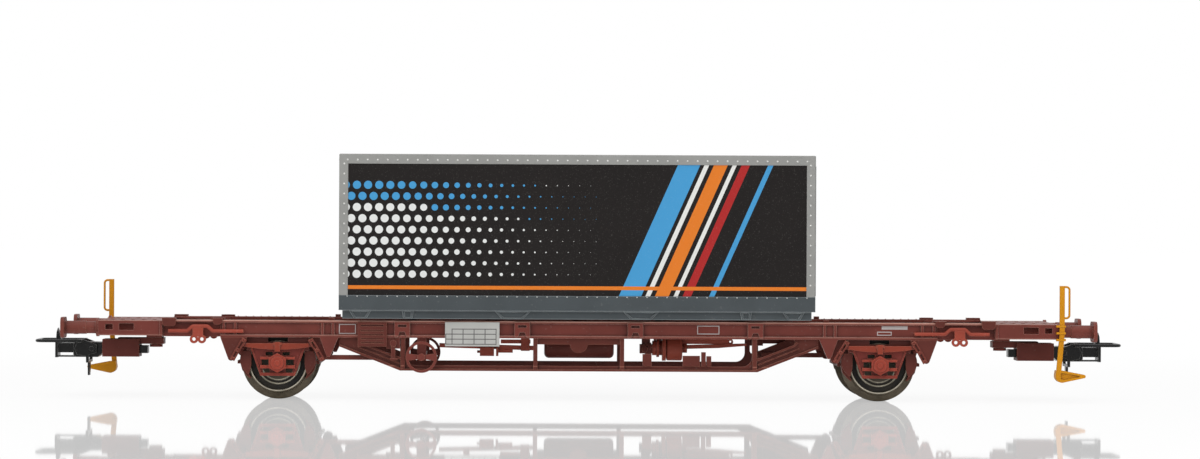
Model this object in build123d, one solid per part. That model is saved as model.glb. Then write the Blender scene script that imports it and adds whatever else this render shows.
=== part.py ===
"""Two-axle container flat wagon with one swap body, a scale model in 1:87.

Frame: X along the wagon, Y across it, Z up, origin on the floor under the
middle of the wagon. All sizes are in millimetres. The side seen in the photo
is the -Y side. "Left" is the -X end, "right" is the +X end.
"""
import os
from collections import namedtuple
from math import cos, radians, sin, sqrt

from build123d import *

# Along the wagon
HALF_WHEELBASE = 57.0
SILL_REACH = 10.8           # sill end beyond the axle
END_RECESS = 11.0           # recessed side between the sill and the end box
END_BOX = 12.2              # end box up to the headstock's face
BUFFER_REACH = 7.1
SILL_END = HALF_WHEELBASE + SILL_REACH
END_STEP = SILL_END + END_RECESS
HEADSTOCK = END_STEP + END_BOX
HALF_LENGTH = HEADSTOCK + BUFFER_REACH      # 17.10 m at full size

# Heights
TREAD_R = 5.75
FLANGE_DEPTH = 1.25
FLANGE_R = TREAD_R + FLANGE_DEPTH
AXLE_Z = FLANGE_R           # the flanges stand on the floor
SPRING_ROOM = 4.85          # axle to the sill's underside
SILL_HEIGHT = 3.25
SILL_BOTTOM = AXLE_Z + SPRING_ROOM
DECK_Z = SILL_BOTTOM + SILL_HEIGHT

# Across the wagon, from the wheels outwards
WHEEL_BACK = 7.15           # half of the distance between wheel backs
WHEEL_WIDTH = 2.8
SIDE_PLAY = 0.45
HANGER_T = 0.6
GUARD_T = 0.6
SPRING_T = 1.0
WHEEL_FACE = WHEEL_BACK + WHEEL_WIDTH
PLATE_FACE = WHEEL_FACE + SIDE_PLAY + HANGER_T      # axle guards sit on this plane
GUARD_FACE = PLATE_FACE + GUARD_T
SPRING_FACE = GUARD_FACE + SPRING_T
SILL_FACE = SPRING_FACE     # outer edge of the sill flanges
WEB_OUT = SILL_FACE - 0.5
WEB_IN = WEB_OUT - 0.9
FLANGE_IN = WEB_IN - 0.6
FLANGE_T = 0.5
TRUSS_IN = PLATE_FACE + 0.3
TRUSS_OUT = TRUSS_IN + 0.5
LIP_OUT = TRUSS_OUT + 0.6

# Axles
AXLE_R = 0.95
TIP_R = 0.1
AXLE_TIP = PLATE_FACE + 1.2
CONE_START = PLATE_FACE - 0.8       # the pin point begins here
FIT = 0.08                  # radial clearance of running fits

# Container
BOX_X = -0.4                # it sits a little to the left of the middle
BOX_HALF_X = 44.95
BOX_HALF_Y = 14.66
PAD_T = 0.4
BAND_T = 1.6
RAIL_T = 2.85
PANEL_T = 24.8
TOP_RAIL_T = 1.85
BOX_BOTTOM = DECK_Z + PAD_T
BAND_TOP = BOX_BOTTOM + BAND_T
RAIL_TOP = BAND_TOP + RAIL_T
PANEL_TOP = RAIL_TOP + PANEL_T
BOX_TOP = PANEL_TOP + TOP_RAIL_T
POST = 1.7
WALL = 1.2
PAD_X = BOX_HALF_X - 2.95
PAD_Y = SILL_FACE - 1.0
PIN_R = 0.6

# Couplings
PIVOT_X = END_STEP + 2.4
PIVOT_R = 0.8
LOOP_PIVOT_X = HEADSTOCK + 2.2
LOOP_PIVOT_Z = SILL_BOTTOM - 2.65
LOOP_TIP = LOOP_PIVOT_X + 10.85
LOOP_HALF = 4.7
LOOP_ROD = 0.3

# Ends
BOX_OUT = SILL_FACE - 0.2
BOX_IN = BOX_OUT - 4.8
BOX_Z = (SILL_BOTTOM + 0.22, DECK_Z - 0.2)
BUFFER_Y = BOX_OUT - 2.34
BUFFER_Z = SILL_BOTTOM + 1.65
SPINE_Y = 2.6
SPINE_Z = (SILL_BOTTOM + 0.45, DECK_Z - 0.6)


def block(x0, x1, y0, y1, z0, z1):
    """Box between two corners."""
    return Pos((x0 + x1) / 2, (y0 + y1) / 2, (z0 + z1) / 2) * Box(
        abs(x1 - x0), abs(y1 - y0), abs(z1 - z0))


def side_plate(points, y0, y1):
    """Outline in X and Z, thick from y0 to y1."""
    face = Face(Wire.make_polygon([Vector(x, y0, z) for x, z in points]))
    return extrude(face, amount=y1 - y0, dir=(0, 1, 0))


def end_plate(points, x0, x1):
    """Outline in Y and Z, thick from x0 to x1."""
    face = Face(Wire.make_polygon([Vector(x0, y, z) for y, z in points]))
    return extrude(face, amount=x1 - x0, dir=(1, 0, 0))


def strip(start, end, half, y0, y1, grow=0.0):
    """Flat bar from one X and Z point to another, with a half width."""
    dx, dz = end[0] - start[0], end[1] - start[1]
    size = sqrt(dx * dx + dz * dz)
    ux, uz = dx / size, dz / size
    points = []
    for along, side in ((-grow, -half), (-grow, half), (size + grow, half), (size + grow, -half)):
        points.append((start[0] + ux * along - uz * side, start[1] + uz * along + ux * side))
    return side_plate(points, y0, y1)


def arc_points(cx, cz, radius, start, end, steps):
    """Points on an arc in X and Z, angles in degrees."""
    angles = [start + (end - start) * i / steps for i in range(steps + 1)]
    return [(cx + radius * cos(radians(a)), cz + radius * sin(radians(a))) for a in angles]


def cross_rod(x, y0, y1, z, radius):
    """Round bar across the wagon."""
    return Pos(x, (y0 + y1) / 2, z) * Rot(90, 0, 0) * Cylinder(radius, abs(y1 - y0))


def long_rod(x0, x1, y, z, radius):
    """Round bar along the wagon."""
    return Pos((x0 + x1) / 2, y, z) * Rot(0, 90, 0) * Cylinder(radius, abs(x1 - x0))


def bent_rod(points, radius, bend):
    """Round rod along a bent path."""
    path = FilletPolyline(*points, radius=bend)
    return sweep(Plane(path @ 0, z_dir=path % 0) * Circle(radius), path=path)


def turned(profile, x, z):
    """Profile of (radius, y) turned about the cross axis at x, z."""
    face = Face(Wire.make_polygon([Vector(x + r, y, z) for r, y in profile]))
    return revolve(face, Axis((x, 0, z), (0, 1, 0)), 360)


def joined(pieces):
    """All pieces fused into one shape."""
    whole = pieces[0]
    for piece in pieces[1:]:
        whole = whole + piece
    return whole


def across(shape):
    """Mirror image on the other side of the wagon."""
    return mirror(shape, about=Plane.XZ)


def other_end(shape):
    """Same shape turned half round, for the other end or side."""
    return Rot(0, 0, 180) * shape


def group(*shapes):
    """Separate solids kept in one node."""
    solids = [s for shape in shapes for s in shape.solids()]
    return Compound(children=solids) if len(solids) > 1 else solids[0]


# Places along the sill and the truss

LEAF_HALF = 6.5             # half of the leaf spring
Bracket = namedtuple("Bracket", "top_in top_out low_in low_out drop")
OUTER_BRACKET = Bracket(LEAF_HALF - 0.6, SILL_REACH, LEAF_HALF + 1.4, LEAF_HALF + 2.6, 0.45)
INNER_BRACKET = Bracket(8.0, 11.5, 9.1, 10.2, 1.2)
RIBS = (HALF_WHEELBASE - 10.5, HALF_WHEELBASE - 8.5, SILL_END - 2.8, SILL_END - 0.6)
TRUSS_END = HALF_WHEELBASE - INNER_BRACKET.top_out - 0.2
KNEE_X = TRUSS_END - 11.5
INNER_LATCH = 0.3166 * KNEE_X
OUTER_LATCH = KNEE_X - 0.4
BOARD_X = (-0.7485 * KNEE_X, -0.4438 * KNEE_X)


def spring_bracket(axle_x, way, b):
    """Plate below the sill that carries a spring link."""
    mid = (b.low_in + b.low_out) / 2
    low = AXLE_Z + b.drop
    pts = [(b.top_in, SILL_BOTTOM), (b.top_out, SILL_BOTTOM), (b.low_out, low + 0.6),
           (mid + 0.25, low), (mid - 0.25, low), (b.low_in, low + 0.6)]
    return side_plate([(axle_x + way * u, z) for u, z in pts], TRUSS_IN, SPRING_FACE)


def side_sill():
    """Far sill: flanged beam, ribs, spring brackets and latch brackets."""
    section = [(FLANGE_IN, SILL_BOTTOM), (SILL_FACE, SILL_BOTTOM),
               (SILL_FACE, SILL_BOTTOM + FLANGE_T), (WEB_OUT, SILL_BOTTOM + FLANGE_T),
               (WEB_OUT, DECK_Z - FLANGE_T), (SILL_FACE, DECK_Z - FLANGE_T),
               (SILL_FACE, DECK_Z), (FLANGE_IN, DECK_Z),
               (FLANGE_IN, DECK_Z - FLANGE_T), (WEB_IN, DECK_Z - FLANGE_T),
               (WEB_IN, SILL_BOTTOM + FLANGE_T), (FLANGE_IN, SILL_BOTTOM + FLANGE_T)]
    pieces = [end_plate(section, -SILL_END, SILL_END)]
    for way in (-1, 1):
        axle = way * HALF_WHEELBASE
        for x in RIBS:
            pieces.append(block(way * x - 0.25, way * x + 0.25, WEB_IN + 0.2,
                                SILL_FACE - 0.1, SILL_BOTTOM + 0.2, DECK_Z - 0.2))
        pieces.append(spring_bracket(axle, way, OUTER_BRACKET))
        pieces.append(spring_bracket(axle, -way, INNER_BRACKET))
        hanger = block(axle - 5.9, axle + 5.9, PLATE_FACE - HANGER_T, PLATE_FACE,
                       AXLE_Z + 2.3, SILL_BOTTOM + 0.2)
        pieces.append(hanger - block(axle - 1.9, axle + 1.9, PLATE_FACE - 1, PLATE_FACE + 1,
                                     SILL_BOTTOM - 0.9, SILL_BOTTOM - 0.05))
    low = SILL_BOTTOM + 0.15
    for x in (-OUTER_LATCH, -INNER_LATCH, INNER_LATCH, OUTER_LATCH):
        latch = block(x - 1.45, x + 1.45, WEB_OUT - 0.2, SILL_FACE + 0.35, low, DECK_Z - 0.15)
        latch -= block(x - 0.8, x + 0.8, SILL_FACE - 0.2, SILL_FACE + 1, low + 1.9, low + 2.35)
        latch -= side_plate([(x - 0.9, low - 0.1), (x + 0.9, low - 0.1), (x + 0.45, low + 1.0),
                             (x - 0.45, low + 1.0)], SILL_FACE - 0.2, SILL_FACE + 1)
        pieces.append(latch)
    return joined(pieces)


# Cross frame between the sills

BEARERS = (0.0, 0.473 * KNEE_X, 0.947 * KNEE_X, HALF_WHEELBASE - 8.8, SILL_END - 1.4)


def cross_frame():
    """Middle beam with arms that reach both sills."""
    pieces = [block(-END_STEP, END_STEP, -SPINE_Y, SPINE_Y, *SPINE_Z)]
    for x in sorted({way * x for x in BEARERS for way in (-1, 1)}):
        pieces.append(block(x - 0.9, x + 0.9, -WEB_IN, WEB_IN, SPINE_Z[0] + 0.3, SPINE_Z[1] - 0.1))
    return joined(pieces)


# End frame, right end

def end_frame():
    """Headstock, side boxes, recessed side walls and the coupling pivot."""
    pieces = []
    for side in (-1, 1):
        wall = block(SILL_END, END_STEP, side * FLANGE_IN, side * WEB_IN, SILL_BOTTOM + 0.05, DECK_Z)
        shelf = block(SILL_END, END_STEP, side * (FLANGE_IN - 0.4), side * SILL_FACE, DECK_Z - 0.45, DECK_Z)
        shelf -= block(SILL_END + 3.4, SILL_END + 5.8, side * (SILL_FACE - 1.1), side * (SILL_FACE - 0.4),
                       DECK_Z - 1, DECK_Z + 1)
        box = block(END_STEP, HEADSTOCK, side * BOX_IN, side * BOX_OUT, *BOX_Z)
        box -= block(END_STEP + 0.9, HEADSTOCK - 0.9, side * (BOX_IN + 0.7),
                     side * (BOX_OUT - 0.7), BOX_Z[0] - 1, BOX_Z[1] - 0.6)
        box -= block(END_STEP + 5.4, END_STEP + 8.2, side * (BOX_OUT - 1), side * (BOX_OUT + 1),
                     BOX_Z[0] + 1.03, BOX_Z[1] - 0.55)
        box -= block(HEADSTOCK - 2.8, HEADSTOCK - 1.4, side * (BOX_OUT - 1), side * (BOX_OUT + 1),
                     BOX_Z[0] + 1.13, BOX_Z[1] - 0.7)
        pieces += [wall, shelf, box]
        pieces.append(block(END_STEP, END_STEP + 0.5, side * BOX_OUT, side * (BOX_OUT + 0.25), *BOX_Z))
        pieces.append(block(END_STEP - 1.9, END_STEP + 0.6, side * SPINE_Y, side * (FLANGE_IN + 0.3),
                            SPINE_Z[0] + 0.3, SPINE_Z[1] - 0.1))
    beam = block(END_STEP, HEADSTOCK - 0.8, -SPINE_Y, SPINE_Y, *SPINE_Z)
    front = block(HEADSTOCK - 0.8, HEADSTOCK, -BOX_OUT, BOX_OUT, *BOX_Z)
    tread = block(END_STEP + 0.6, HEADSTOCK - 0.5, -BOX_IN - 0.3, BOX_IN + 0.3, SPINE_Z[1] - 0.2, BOX_Z[1])
    pitch = (END_BOX - 2.2) / 5
    for i in range(5):
        x = END_STEP + 1.8 + pitch * i
        for y0, y1 in ((-BOX_IN + 0.7, -SPINE_Y - 0.6), (SPINE_Y + 0.6, BOX_IN - 0.7)):
            tread -= block(x, x + pitch / 2, y0, y1, SPINE_Z[1] - 0.5, DECK_Z + 1)
    foot = block(PIVOT_X - 1.3, PIVOT_X + 1.7, -1.9, 1.9, SILL_BOTTOM - 0.5, SPINE_Z[0] + 0.1)
    pin_low = SILL_BOTTOM - 2.1
    pin = Pos(PIVOT_X, 0, 0) * (Pos(0, 0, SILL_BOTTOM - 1.15) * Cylinder(PIVOT_R, 1.5)
                                + Pos(0, 0, pin_low) * Cylinder(PIVOT_R + 0.45, 0.5))
    return joined(pieces + [beam, front, tread, foot, pin])


# Truss below the sill, far side

CHORD_Z = (SILL_BOTTOM - 6.2, SILL_BOTTOM - 5.2)
TRUSS_RISE = 2.45           # height of the diagonal, measured upright
POST_X = (0.2426 * KNEE_X, KNEE_X - 0.5)
POST_W = 1.0
KNEE_BEND = 1.8
ROD_Z = (SILL_BOTTOM - 4.25, SILL_BOTTOM - 3.35)


def truss_end(way):
    """Knee, outer post and diagonal of one end, with raised edges."""
    slope = 4.85 / (TRUSS_END - KNEE_X + 0.9)
    low = lambda x: CHORD_Z[0] + slope * (x - KNEE_X)
    inner = KNEE_X - POST_W
    bay = TRUSS_END - 4.35       # outer end of the window above the diagonal
    bay_z = low(bay - 0.2) + TRUSS_RISE
    bend = arc_points(inner - KNEE_BEND, CHORD_Z[1] + KNEE_BEND, KNEE_BEND, 0, -90, 6)
    web = [(inner - KNEE_BEND - 0.4, CHORD_Z[0]), (KNEE_X, CHORD_Z[0]), (TRUSS_END, low(TRUSS_END)),
           (TRUSS_END, SILL_BOTTOM), (bay - 0.35, SILL_BOTTOM), (bay, SILL_BOTTOM - 0.4),
           (bay - 0.2, bay_z), (KNEE_X + 0.8, low(KNEE_X + 0.8) + TRUSS_RISE),
           (KNEE_X + 0.25, low(KNEE_X + 0.25) + TRUSS_RISE + 0.12),
           (KNEE_X, low(KNEE_X) + TRUSS_RISE + 0.6), (KNEE_X, SILL_BOTTOM), (inner, SILL_BOTTOM)]
    web += bend + [(inner - KNEE_BEND - 0.4, CHORD_Z[1])]
    foot = [(KNEE_X - 0.3, CHORD_Z[0]), (KNEE_X, CHORD_Z[0]), (TRUSS_END, low(TRUSS_END)),
            (TRUSS_END, low(TRUSS_END) + 0.4), (KNEE_X - 0.3, CHORD_Z[0] + 0.4)]
    edge = [(KNEE_X - 0.2, low(KNEE_X) + TRUSS_RISE - 0.45), (bay - 0.2, bay_z - 0.4),
            (bay + 0.6, bay_z + 0.35), (bay + 0.35, bay_z + 0.6), (bay - 0.2, bay_z),
            (KNEE_X + 0.8, low(KNEE_X + 0.8) + TRUSS_RISE), (KNEE_X - 0.2, low(KNEE_X) + TRUSS_RISE + 0.05)]
    ridge = [(KNEE_X + 0.1, low(KNEE_X) + 1.2), (bay + 0.8, low(bay + 0.8) + 1.2),
             (bay + 0.8, low(bay + 0.8) + 1.45), (KNEE_X + 0.1, low(KNEE_X) + 1.45)]
    pieces = []
    for points, out in ((web, TRUSS_OUT), (foot, LIP_OUT), (edge, LIP_OUT - 0.15), (ridge, TRUSS_OUT + 0.25)):
        pieces.append(side_plate([(way * x, z) for x, z in points], TRUSS_IN, out))
    return pieces


def truss():
    """Far truss: bottom chord, diagonals, posts, middle plate and pull rod."""
    pieces = [block(-KNEE_X, KNEE_X, TRUSS_IN, TRUSS_OUT, *CHORD_Z),
              block(-KNEE_X, KNEE_X, TRUSS_IN, LIP_OUT, CHORD_Z[0], CHORD_Z[0] + 0.35)]
    for way in (-1, 1):
        pieces += truss_end(way)
        for x in POST_X:
            half = POST_W / 2 - 0.1
            pieces.append(block(way * x - half, way * x + half, TRUSS_IN, LIP_OUT - 0.1,
                                CHORD_Z[0] + 0.1, SILL_BOTTOM))
    plate_z = SILL_BOTTOM - 1.15
    pieces.append(block(-POST_X[0], POST_X[0], TRUSS_IN, TRUSS_OUT, plate_z, SILL_BOTTOM))
    gusset = cross_rod(0, TRUSS_IN, TRUSS_OUT, plate_z + 0.1, 1.7)
    pieces.append(gusset - block(-3, 3, TRUSS_IN - 1, TRUSS_OUT + 1, plate_z + 0.1, SILL_BOTTOM + 2))
    pieces.append(block(KNEE_X + 2.2, TRUSS_END + 2.7, TRUSS_IN - 0.8, TRUSS_IN, *ROD_Z))
    return joined(pieces)


# Axle guard, far side

def axle_guard(x):
    """Trapezoid guard plate with windows, tie bars and a six-sided axlebox."""
    a = AXLE_Z
    outline = [(-5.14, a + 3.2), (-5.14, a + 2.73), (-3.3, a - 2.46), (3.3, a - 2.46),
               (5.14, a + 2.73), (5.14, a + 3.2)]
    plate = side_plate(outline, PLATE_FACE, GUARD_FACE)
    for way in (-1, 1):
        for u0, u1, z0, z1 in ((0.9, 2.3, 1.35, 2.05), (1.5, 3.05, -0.45, 0.6), (1.5, 2.85, -1.9, -1.1)):
            plate -= block(way * u0, way * u1, PLATE_FACE - 1, GUARD_FACE + 1, a + z0, a + z1)
    pieces = [plate]
    for z0, z1 in ((0.65, 1.12), (-1.05, -0.48)):
        pieces.append(block(-3.3, 3.3, PLATE_FACE, GUARD_FACE + 0.5, a + z0, a + z1))
    pieces.append(block(-3.3, 3.3, PLATE_FACE, GUARD_FACE + 0.35, a - 2.46, a - 1.9))
    six = arc_points(0, a, 1.85, 90, 390, 5)
    pieces.append(side_plate(six, PLATE_FACE, GUARD_FACE + 1.3))
    pieces.append(cross_rod(0, GUARD_FACE + 1.2, GUARD_FACE + 1.65, a, 1.2))
    pieces.append(cross_rod(0, GUARD_FACE + 1.6, GUARD_FACE + 1.9, a, 0.5))
    for way in (-1, 1):
        edge = [(way * 5.14, a + 2.73), (way * 3.3, a - 2.46)]
        pieces.append(strip((edge[0][0] - way * 0.22, edge[0][1]), (edge[1][0] - way * 0.22, edge[1][1] + 0.05),
                            0.15, PLATE_FACE, GUARD_FACE + 0.2))
    guard = joined(pieces)
    start = PLATE_FACE - 0.2
    grow = (AXLE_R - TIP_R) / (AXLE_TIP - CONE_START)
    mouth = AXLE_R + FIT - grow * (start - CONE_START)
    deep = AXLE_TIP + 0.1
    cup = turned([(0, start), (mouth, start), (TIP_R + FIT, deep), (0, deep)], 0, AXLE_Z)
    return Pos(x, 0, 0) * (guard - cup)


# Leaf spring with its links, far side

def leaf_spring(x):
    """Parabolic spring, clamp, and two ring links at each end."""
    a, n = AXLE_Z, 8
    low = []
    for i in range(n + 1):
        u = LEAF_HALF * (2 * i / n - 1)
        low.append((u, a + 2.5 + 0.6 * (u / LEAF_HALF) ** 2))
    leaf = side_plate(low + [(LEAF_HALF, a + 3.7), (-LEAF_HALF, a + 3.7)], GUARD_FACE, SPRING_FACE)
    pieces = [leaf, block(-0.5, 0.5, GUARD_FACE, SPRING_FACE + 0.3, a + 2.15, a + 3.95),
              block(-0.8, 0.8, GUARD_FACE, SPRING_FACE + 0.2, a + 3.35, a + 3.85)]
    out = SPRING_FACE + 0.35
    for way in (-1, 1):
        top, mid, end = (way * 6.35, a + 4.3), (way * 7.5, a + 2.45), (way * 8.4, a + 0.8)
        for p, q in ((top, mid), (mid, end)):
            ring = strip(p, q, 0.46, SPRING_FACE, out, 0.3)
            pieces.append(ring - strip(p, q, 0.2, SPRING_FACE - 1, out + 1, -0.35))
        for u, z in (top, mid, end):
            pieces.append(cross_rod(u, SPRING_FACE, out + 0.2, z, 0.28))
    return Pos(x, 0, 0) * joined(pieces)


# Brakes

SHOE_Y = (WHEEL_FACE - 1.45, WHEEL_FACE - 0.05)
SHOE_GAP = 0.2


def brake_shoes(x):
    """Two beams, each with two shoes and their hangers."""
    beams = []
    r = TREAD_R + SHOE_GAP
    outer = ((-30, r + 0.2), (-22, r + 0.6), (-12, r + 1.05), (0, r + 1.3), (12, r + 1.3), (24, r + 1.05), (34, r + 0.7))
    for way in (-1, 1):
        arc = [(x + way * u, z) for u, z in arc_points(0, AXLE_Z, r, -30, 34, 6)]
        for angle, size in reversed(outer):
            arc.append((x + way * size * cos(radians(angle)), AXLE_Z + size * sin(radians(angle))))
        hang = [(x + way * (r - 0.05), AXLE_Z + 3.2), (x + way * (r + 0.85), AXLE_Z + 2.6),
                (x + way * (r + 2.9), SPINE_Z[0] + 0.3), (x + way * (r + 2.4), SPINE_Z[0] + 0.3)]
        pieces = [block(x + way * (FLANGE_R + 0.2), x + way * (FLANGE_R + 0.8), -SHOE_Y[0] - 0.5, SHOE_Y[0] + 0.5,
                        AXLE_Z - 0.3, AXLE_Z + 0.3)]
        for side in (-1, 1):
            y0, y1 = sorted((side * SHOE_Y[0], side * SHOE_Y[1]))
            h0, h1 = sorted((side * (SHOE_Y[0] + 0.3), side * (SHOE_Y[0] + 1.0)))
            pieces += [side_plate(arc, y0, y1), side_plate(hang, h0, h1)]
        beams.append(joined(pieces))
    return group(*beams)


# Air brake below the middle beam, placed in hundredths of the knee's distance

BAY = KNEE_X / 100
TANK_R = 2.2
PISTON_R = 2.4
PISTON_Z = SPINE_Z[0] - 2.6


def air_tank():
    """Tank with domed ends on two straps."""
    z = SPINE_Z[0] - TANK_R - 0.2
    tank = long_rod(-19.2 * BAY, 20.4 * BAY, 0, z, TANK_R)
    tank = fillet(tank.edges().filter_by(GeomType.CIRCLE), 0.9)
    straps = [block(x - 0.5, x + 0.5, -1.6, 1.6, z + 1.1, SPINE_Z[0]) for x in (-11.2 * BAY, 12.4 * BAY)]
    return joined([tank] + straps)


def brake_cylinder():
    """Stepped cylinder with its flange, neck, levers and hanger."""
    z = PISTON_Z
    drum = long_rod(50.3 * BAY, 59.3 * BAY, 0, z, PISTON_R)
    drum = fillet(drum.edges().filter_by(GeomType.CIRCLE), 0.35)
    pieces = [drum]
    for start, end, radius in ((47.9, 50.0, PISTON_R + 0.05), (42.3, 53.3, 1.4), (44.7, 46.2, 1.75), (59.0, 62.1, 0.9)):
        pieces.append(long_rod(start * BAY, end * BAY, 0, z, radius))
    bar = [(60.5, -0.15), (80.0, 0.05), (96.0, 0.5), (96.0, 0.95), (60.5, 0.6)]
    pieces += [side_plate([(u * BAY, z + v) for u, v in bar], -0.5, 0.5),
               block(58.5 * BAY, 85.5 * BAY, -0.4, 0.4, z + 0.8, z + 1.75),
               block(51.5 * BAY, 57.4 * BAY, -1.2, 1.2, z + 0.8, SPINE_Z[0]),
               block(85.8 * BAY, 87.8 * BAY, -0.5, 0.5, z + 1.6, SPINE_Z[0])]
    ring = cross_rod(86.8 * BAY, -0.4, 0.4, z + 1.27, 0.55)
    return joined(pieces + [ring]) - cross_rod(86.8 * BAY, -1, 1, z + 1.27, 0.2)


def brake_rigging():
    """Pull lever on two hangers, with a valve box and a small cylinder."""
    z = PISTON_Z
    lever = [(-78.9, -0.05), (-24.4, -0.55), (-24.4, 0.3), (-78.9, 0.75)]
    pieces = [side_plate([(u * BAY, z + v) for u, v in lever], -0.5, 0.5)]
    for start, end, half, low, high in ((-44.0, -27.0, 0.45, 0.75, 1.5), (-32.5, -27.5, 0.8, -0.65, SPINE_Z[0] - z),
                                        (-65.0, -61.5, 0.6, 0.2, SPINE_Z[0] - z), (-55.8, -47.8, 1.2, -1.65, 0.05),
                                        (-46.6, -45.3, 1.2, -1.65, 0.05)):
        pieces.append(block(start * BAY, end * BAY, -half, half, z + low, z + high))
    pieces += [long_rod(-57.4 * BAY, -55.0 * BAY, 0, z - 0.85, 0.25), long_rod(-45.6 * BAY, -37.1 * BAY, 0, z - 0.5, 0.55)]
    return joined(pieces)


def valve_block():
    """Control valve below the middle beam."""
    z = PISTON_Z
    pieces = [block(35.2 * BAY, 42.3 * BAY, -1.7, 1.7, z - 1.0, z + 0.7),
              block(36.4 * BAY, 41.1 * BAY, -1.1, 1.1, z + 0.6, SPINE_Z[0]),
              block(38.2 * BAY, 41.7 * BAY, -1.4, 1.4, z - 1.3, z + 1.0),
              cross_rod(37.9 * BAY, -2.1, -1.6, z - 0.2, 0.55), cross_rod(40.5 * BAY, -1.95, -1.3, z + 0.1, 0.35)]
    return joined(pieces)


ChordPart = namedtuple("ChordPart", "start end height")
CHORD_PARTS = (ChordPart(0.358, 0.408, 2.3), ChordPart(0.583, 0.679, 2.0),
               ChordPart(0.687, 0.7115, 2.7), ChordPart(0.716, 0.7425, 1.95))


def load_valve():
    """Change-over boxes standing on the near chord."""
    return group(*[block(p.start * KNEE_X, p.end * KNEE_X, -TRUSS_OUT - 0.3, -TRUSS_IN + 0.3,
                         CHORD_Z[1], CHORD_Z[1] + p.height) for p in CHORD_PARTS])


HANDBRAKE_X = -KNEE_X + 4.05
HANDBRAKE_Z = SILL_BOTTOM - 3.6
HANDWHEEL_R = 2.97
HANDWHEEL_Y = SILL_FACE + 0.3


def handbrake():
    """Cross shaft with a handwheel on each side and its two hangers."""
    x, z = HANDBRAKE_X, HANDBRAKE_Z
    pieces = [cross_rod(x, -HANDWHEEL_Y - 0.3, HANDWHEEL_Y + 0.3, z, 0.5)]
    for side in (-1, 1):
        y0, y1 = sorted((side * HANDWHEEL_Y, side * (HANDWHEEL_Y + 0.5)))
        wheel = cross_rod(x, y0, y1, z, HANDWHEEL_R)
        hole = cross_rod(x, y0 - 1, y1 + 1, z, HANDWHEEL_R - 0.5)
        hole -= side_plate([(x - 4, z - 0.9), (x - 0.9, z - 0.45), (x + 0.9, z - 0.45), (x + 4, z - 0.9),
                            (x + 4, z + 0.9), (x + 0.9, z + 0.45), (x - 0.9, z + 0.45), (x - 4, z + 0.9)],
                           y0 - 2, y1 + 2)
        hub = cross_rod(x, side * (HANDWHEEL_Y + 0.1), side * (HANDWHEEL_Y + 0.8), z, 0.7)
        h0, h1 = sorted((side * TRUSS_IN, side * (TRUSS_OUT + 0.1)))
        pieces += [wheel - hole, hub, block(x - 0.85, x + 0.85, h0, h1, z - 0.7, SILL_BOTTOM)]
    return joined(pieces)


# Side fittings, near side

def load_board():
    """Blank board on the near sill."""
    return block(*BOARD_X, -SILL_FACE - 0.45, -SILL_FACE, SILL_BOTTOM - 1.55, DECK_Z - 0.2)


def label_panel():
    """Louvred panel on the near sill."""
    face = -SILL_FACE - 0.5
    x0, x1 = -KNEE_X - 8.0, -KNEE_X - 2.5
    low = SILL_BOTTOM - 1.65
    panel = block(x0, x1, face, -SILL_FACE, low, DECK_Z - 0.3)
    panel -= block(x0 + 0.6, x1 - 0.6, face - 1, face + 0.25, DECK_Z - 1.1, DECK_Z - 0.75)
    for i in range(4):
        z = low + 0.6 + 0.75 * i
        panel -= block(x0 + 0.6, x1 - 0.6, face - 1, face + 0.15, z, z + 0.25)
    return panel


def change_lever():
    """Lever bracket and its hanging handle, near side."""
    x, y = -KNEE_X - 1.3, -LIP_OUT - 0.1
    pieces = [block(x - 1.3, x + 1.3, y, y + 0.6, SILL_BOTTOM - 2.05, SILL_BOTTOM),
              block(x - 0.4, x + 0.4, y - 0.45, y, SILL_BOTTOM - 4.25, SILL_BOTTOM - 0.65),
              block(x - 0.6, x + 0.8, y - 0.6, y, SILL_BOTTOM - 4.25, SILL_BOTTOM - 3.85),
              cross_rod(x, y - 0.65, y, SILL_BOTTOM - 1.05, 0.6)]
    return joined(pieces)


# Bars and rope eyes at the end, far side of the right end

def end_bar():
    """Bent hand bar, its studs, the bracket plate and the double rope eye."""
    y, r = SILL_FACE + 0.4, 0.34
    low, high = SILL_BOTTOM + 1.15, SILL_BOTTOM + 2.05
    x = SILL_END
    path = [(x - 4.3, y, low), (x + 1.4, y, low), (x + 2.4, y, high), (x + 5.2, y, high),
            (x + 6.2, y, low), (x + 9.8, y, low)]
    pieces = [bent_rod(path, r, 0.5),
              block(x - 4.4, x - 3.7, WEB_OUT, y + 0.1, low - 0.25, low + 0.25),
              block(x + 9.1, x + 9.8, WEB_IN, y + 0.1, low - 0.25, low + 0.25),
              block(x + 3.2, x + 5.2, y - 0.25, y + 0.2, SILL_BOTTOM + 0.05, high),
              block(x + 3.4, x + 5.0, WEB_IN, y - 0.1, SILL_BOTTOM + 0.15, SILL_BOTTOM + 0.65)]
    for offset in (3.45, 4.95):
        z = SILL_BOTTOM - 0.4
        pieces.append(cross_rod(x + offset, y - 0.25, y + 0.15, z, 0.8)
                      - cross_rod(x + offset, y - 1, y + 1, z, 0.33))
    return joined(pieces)


# Step with handrail, near side of the right end

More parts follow.
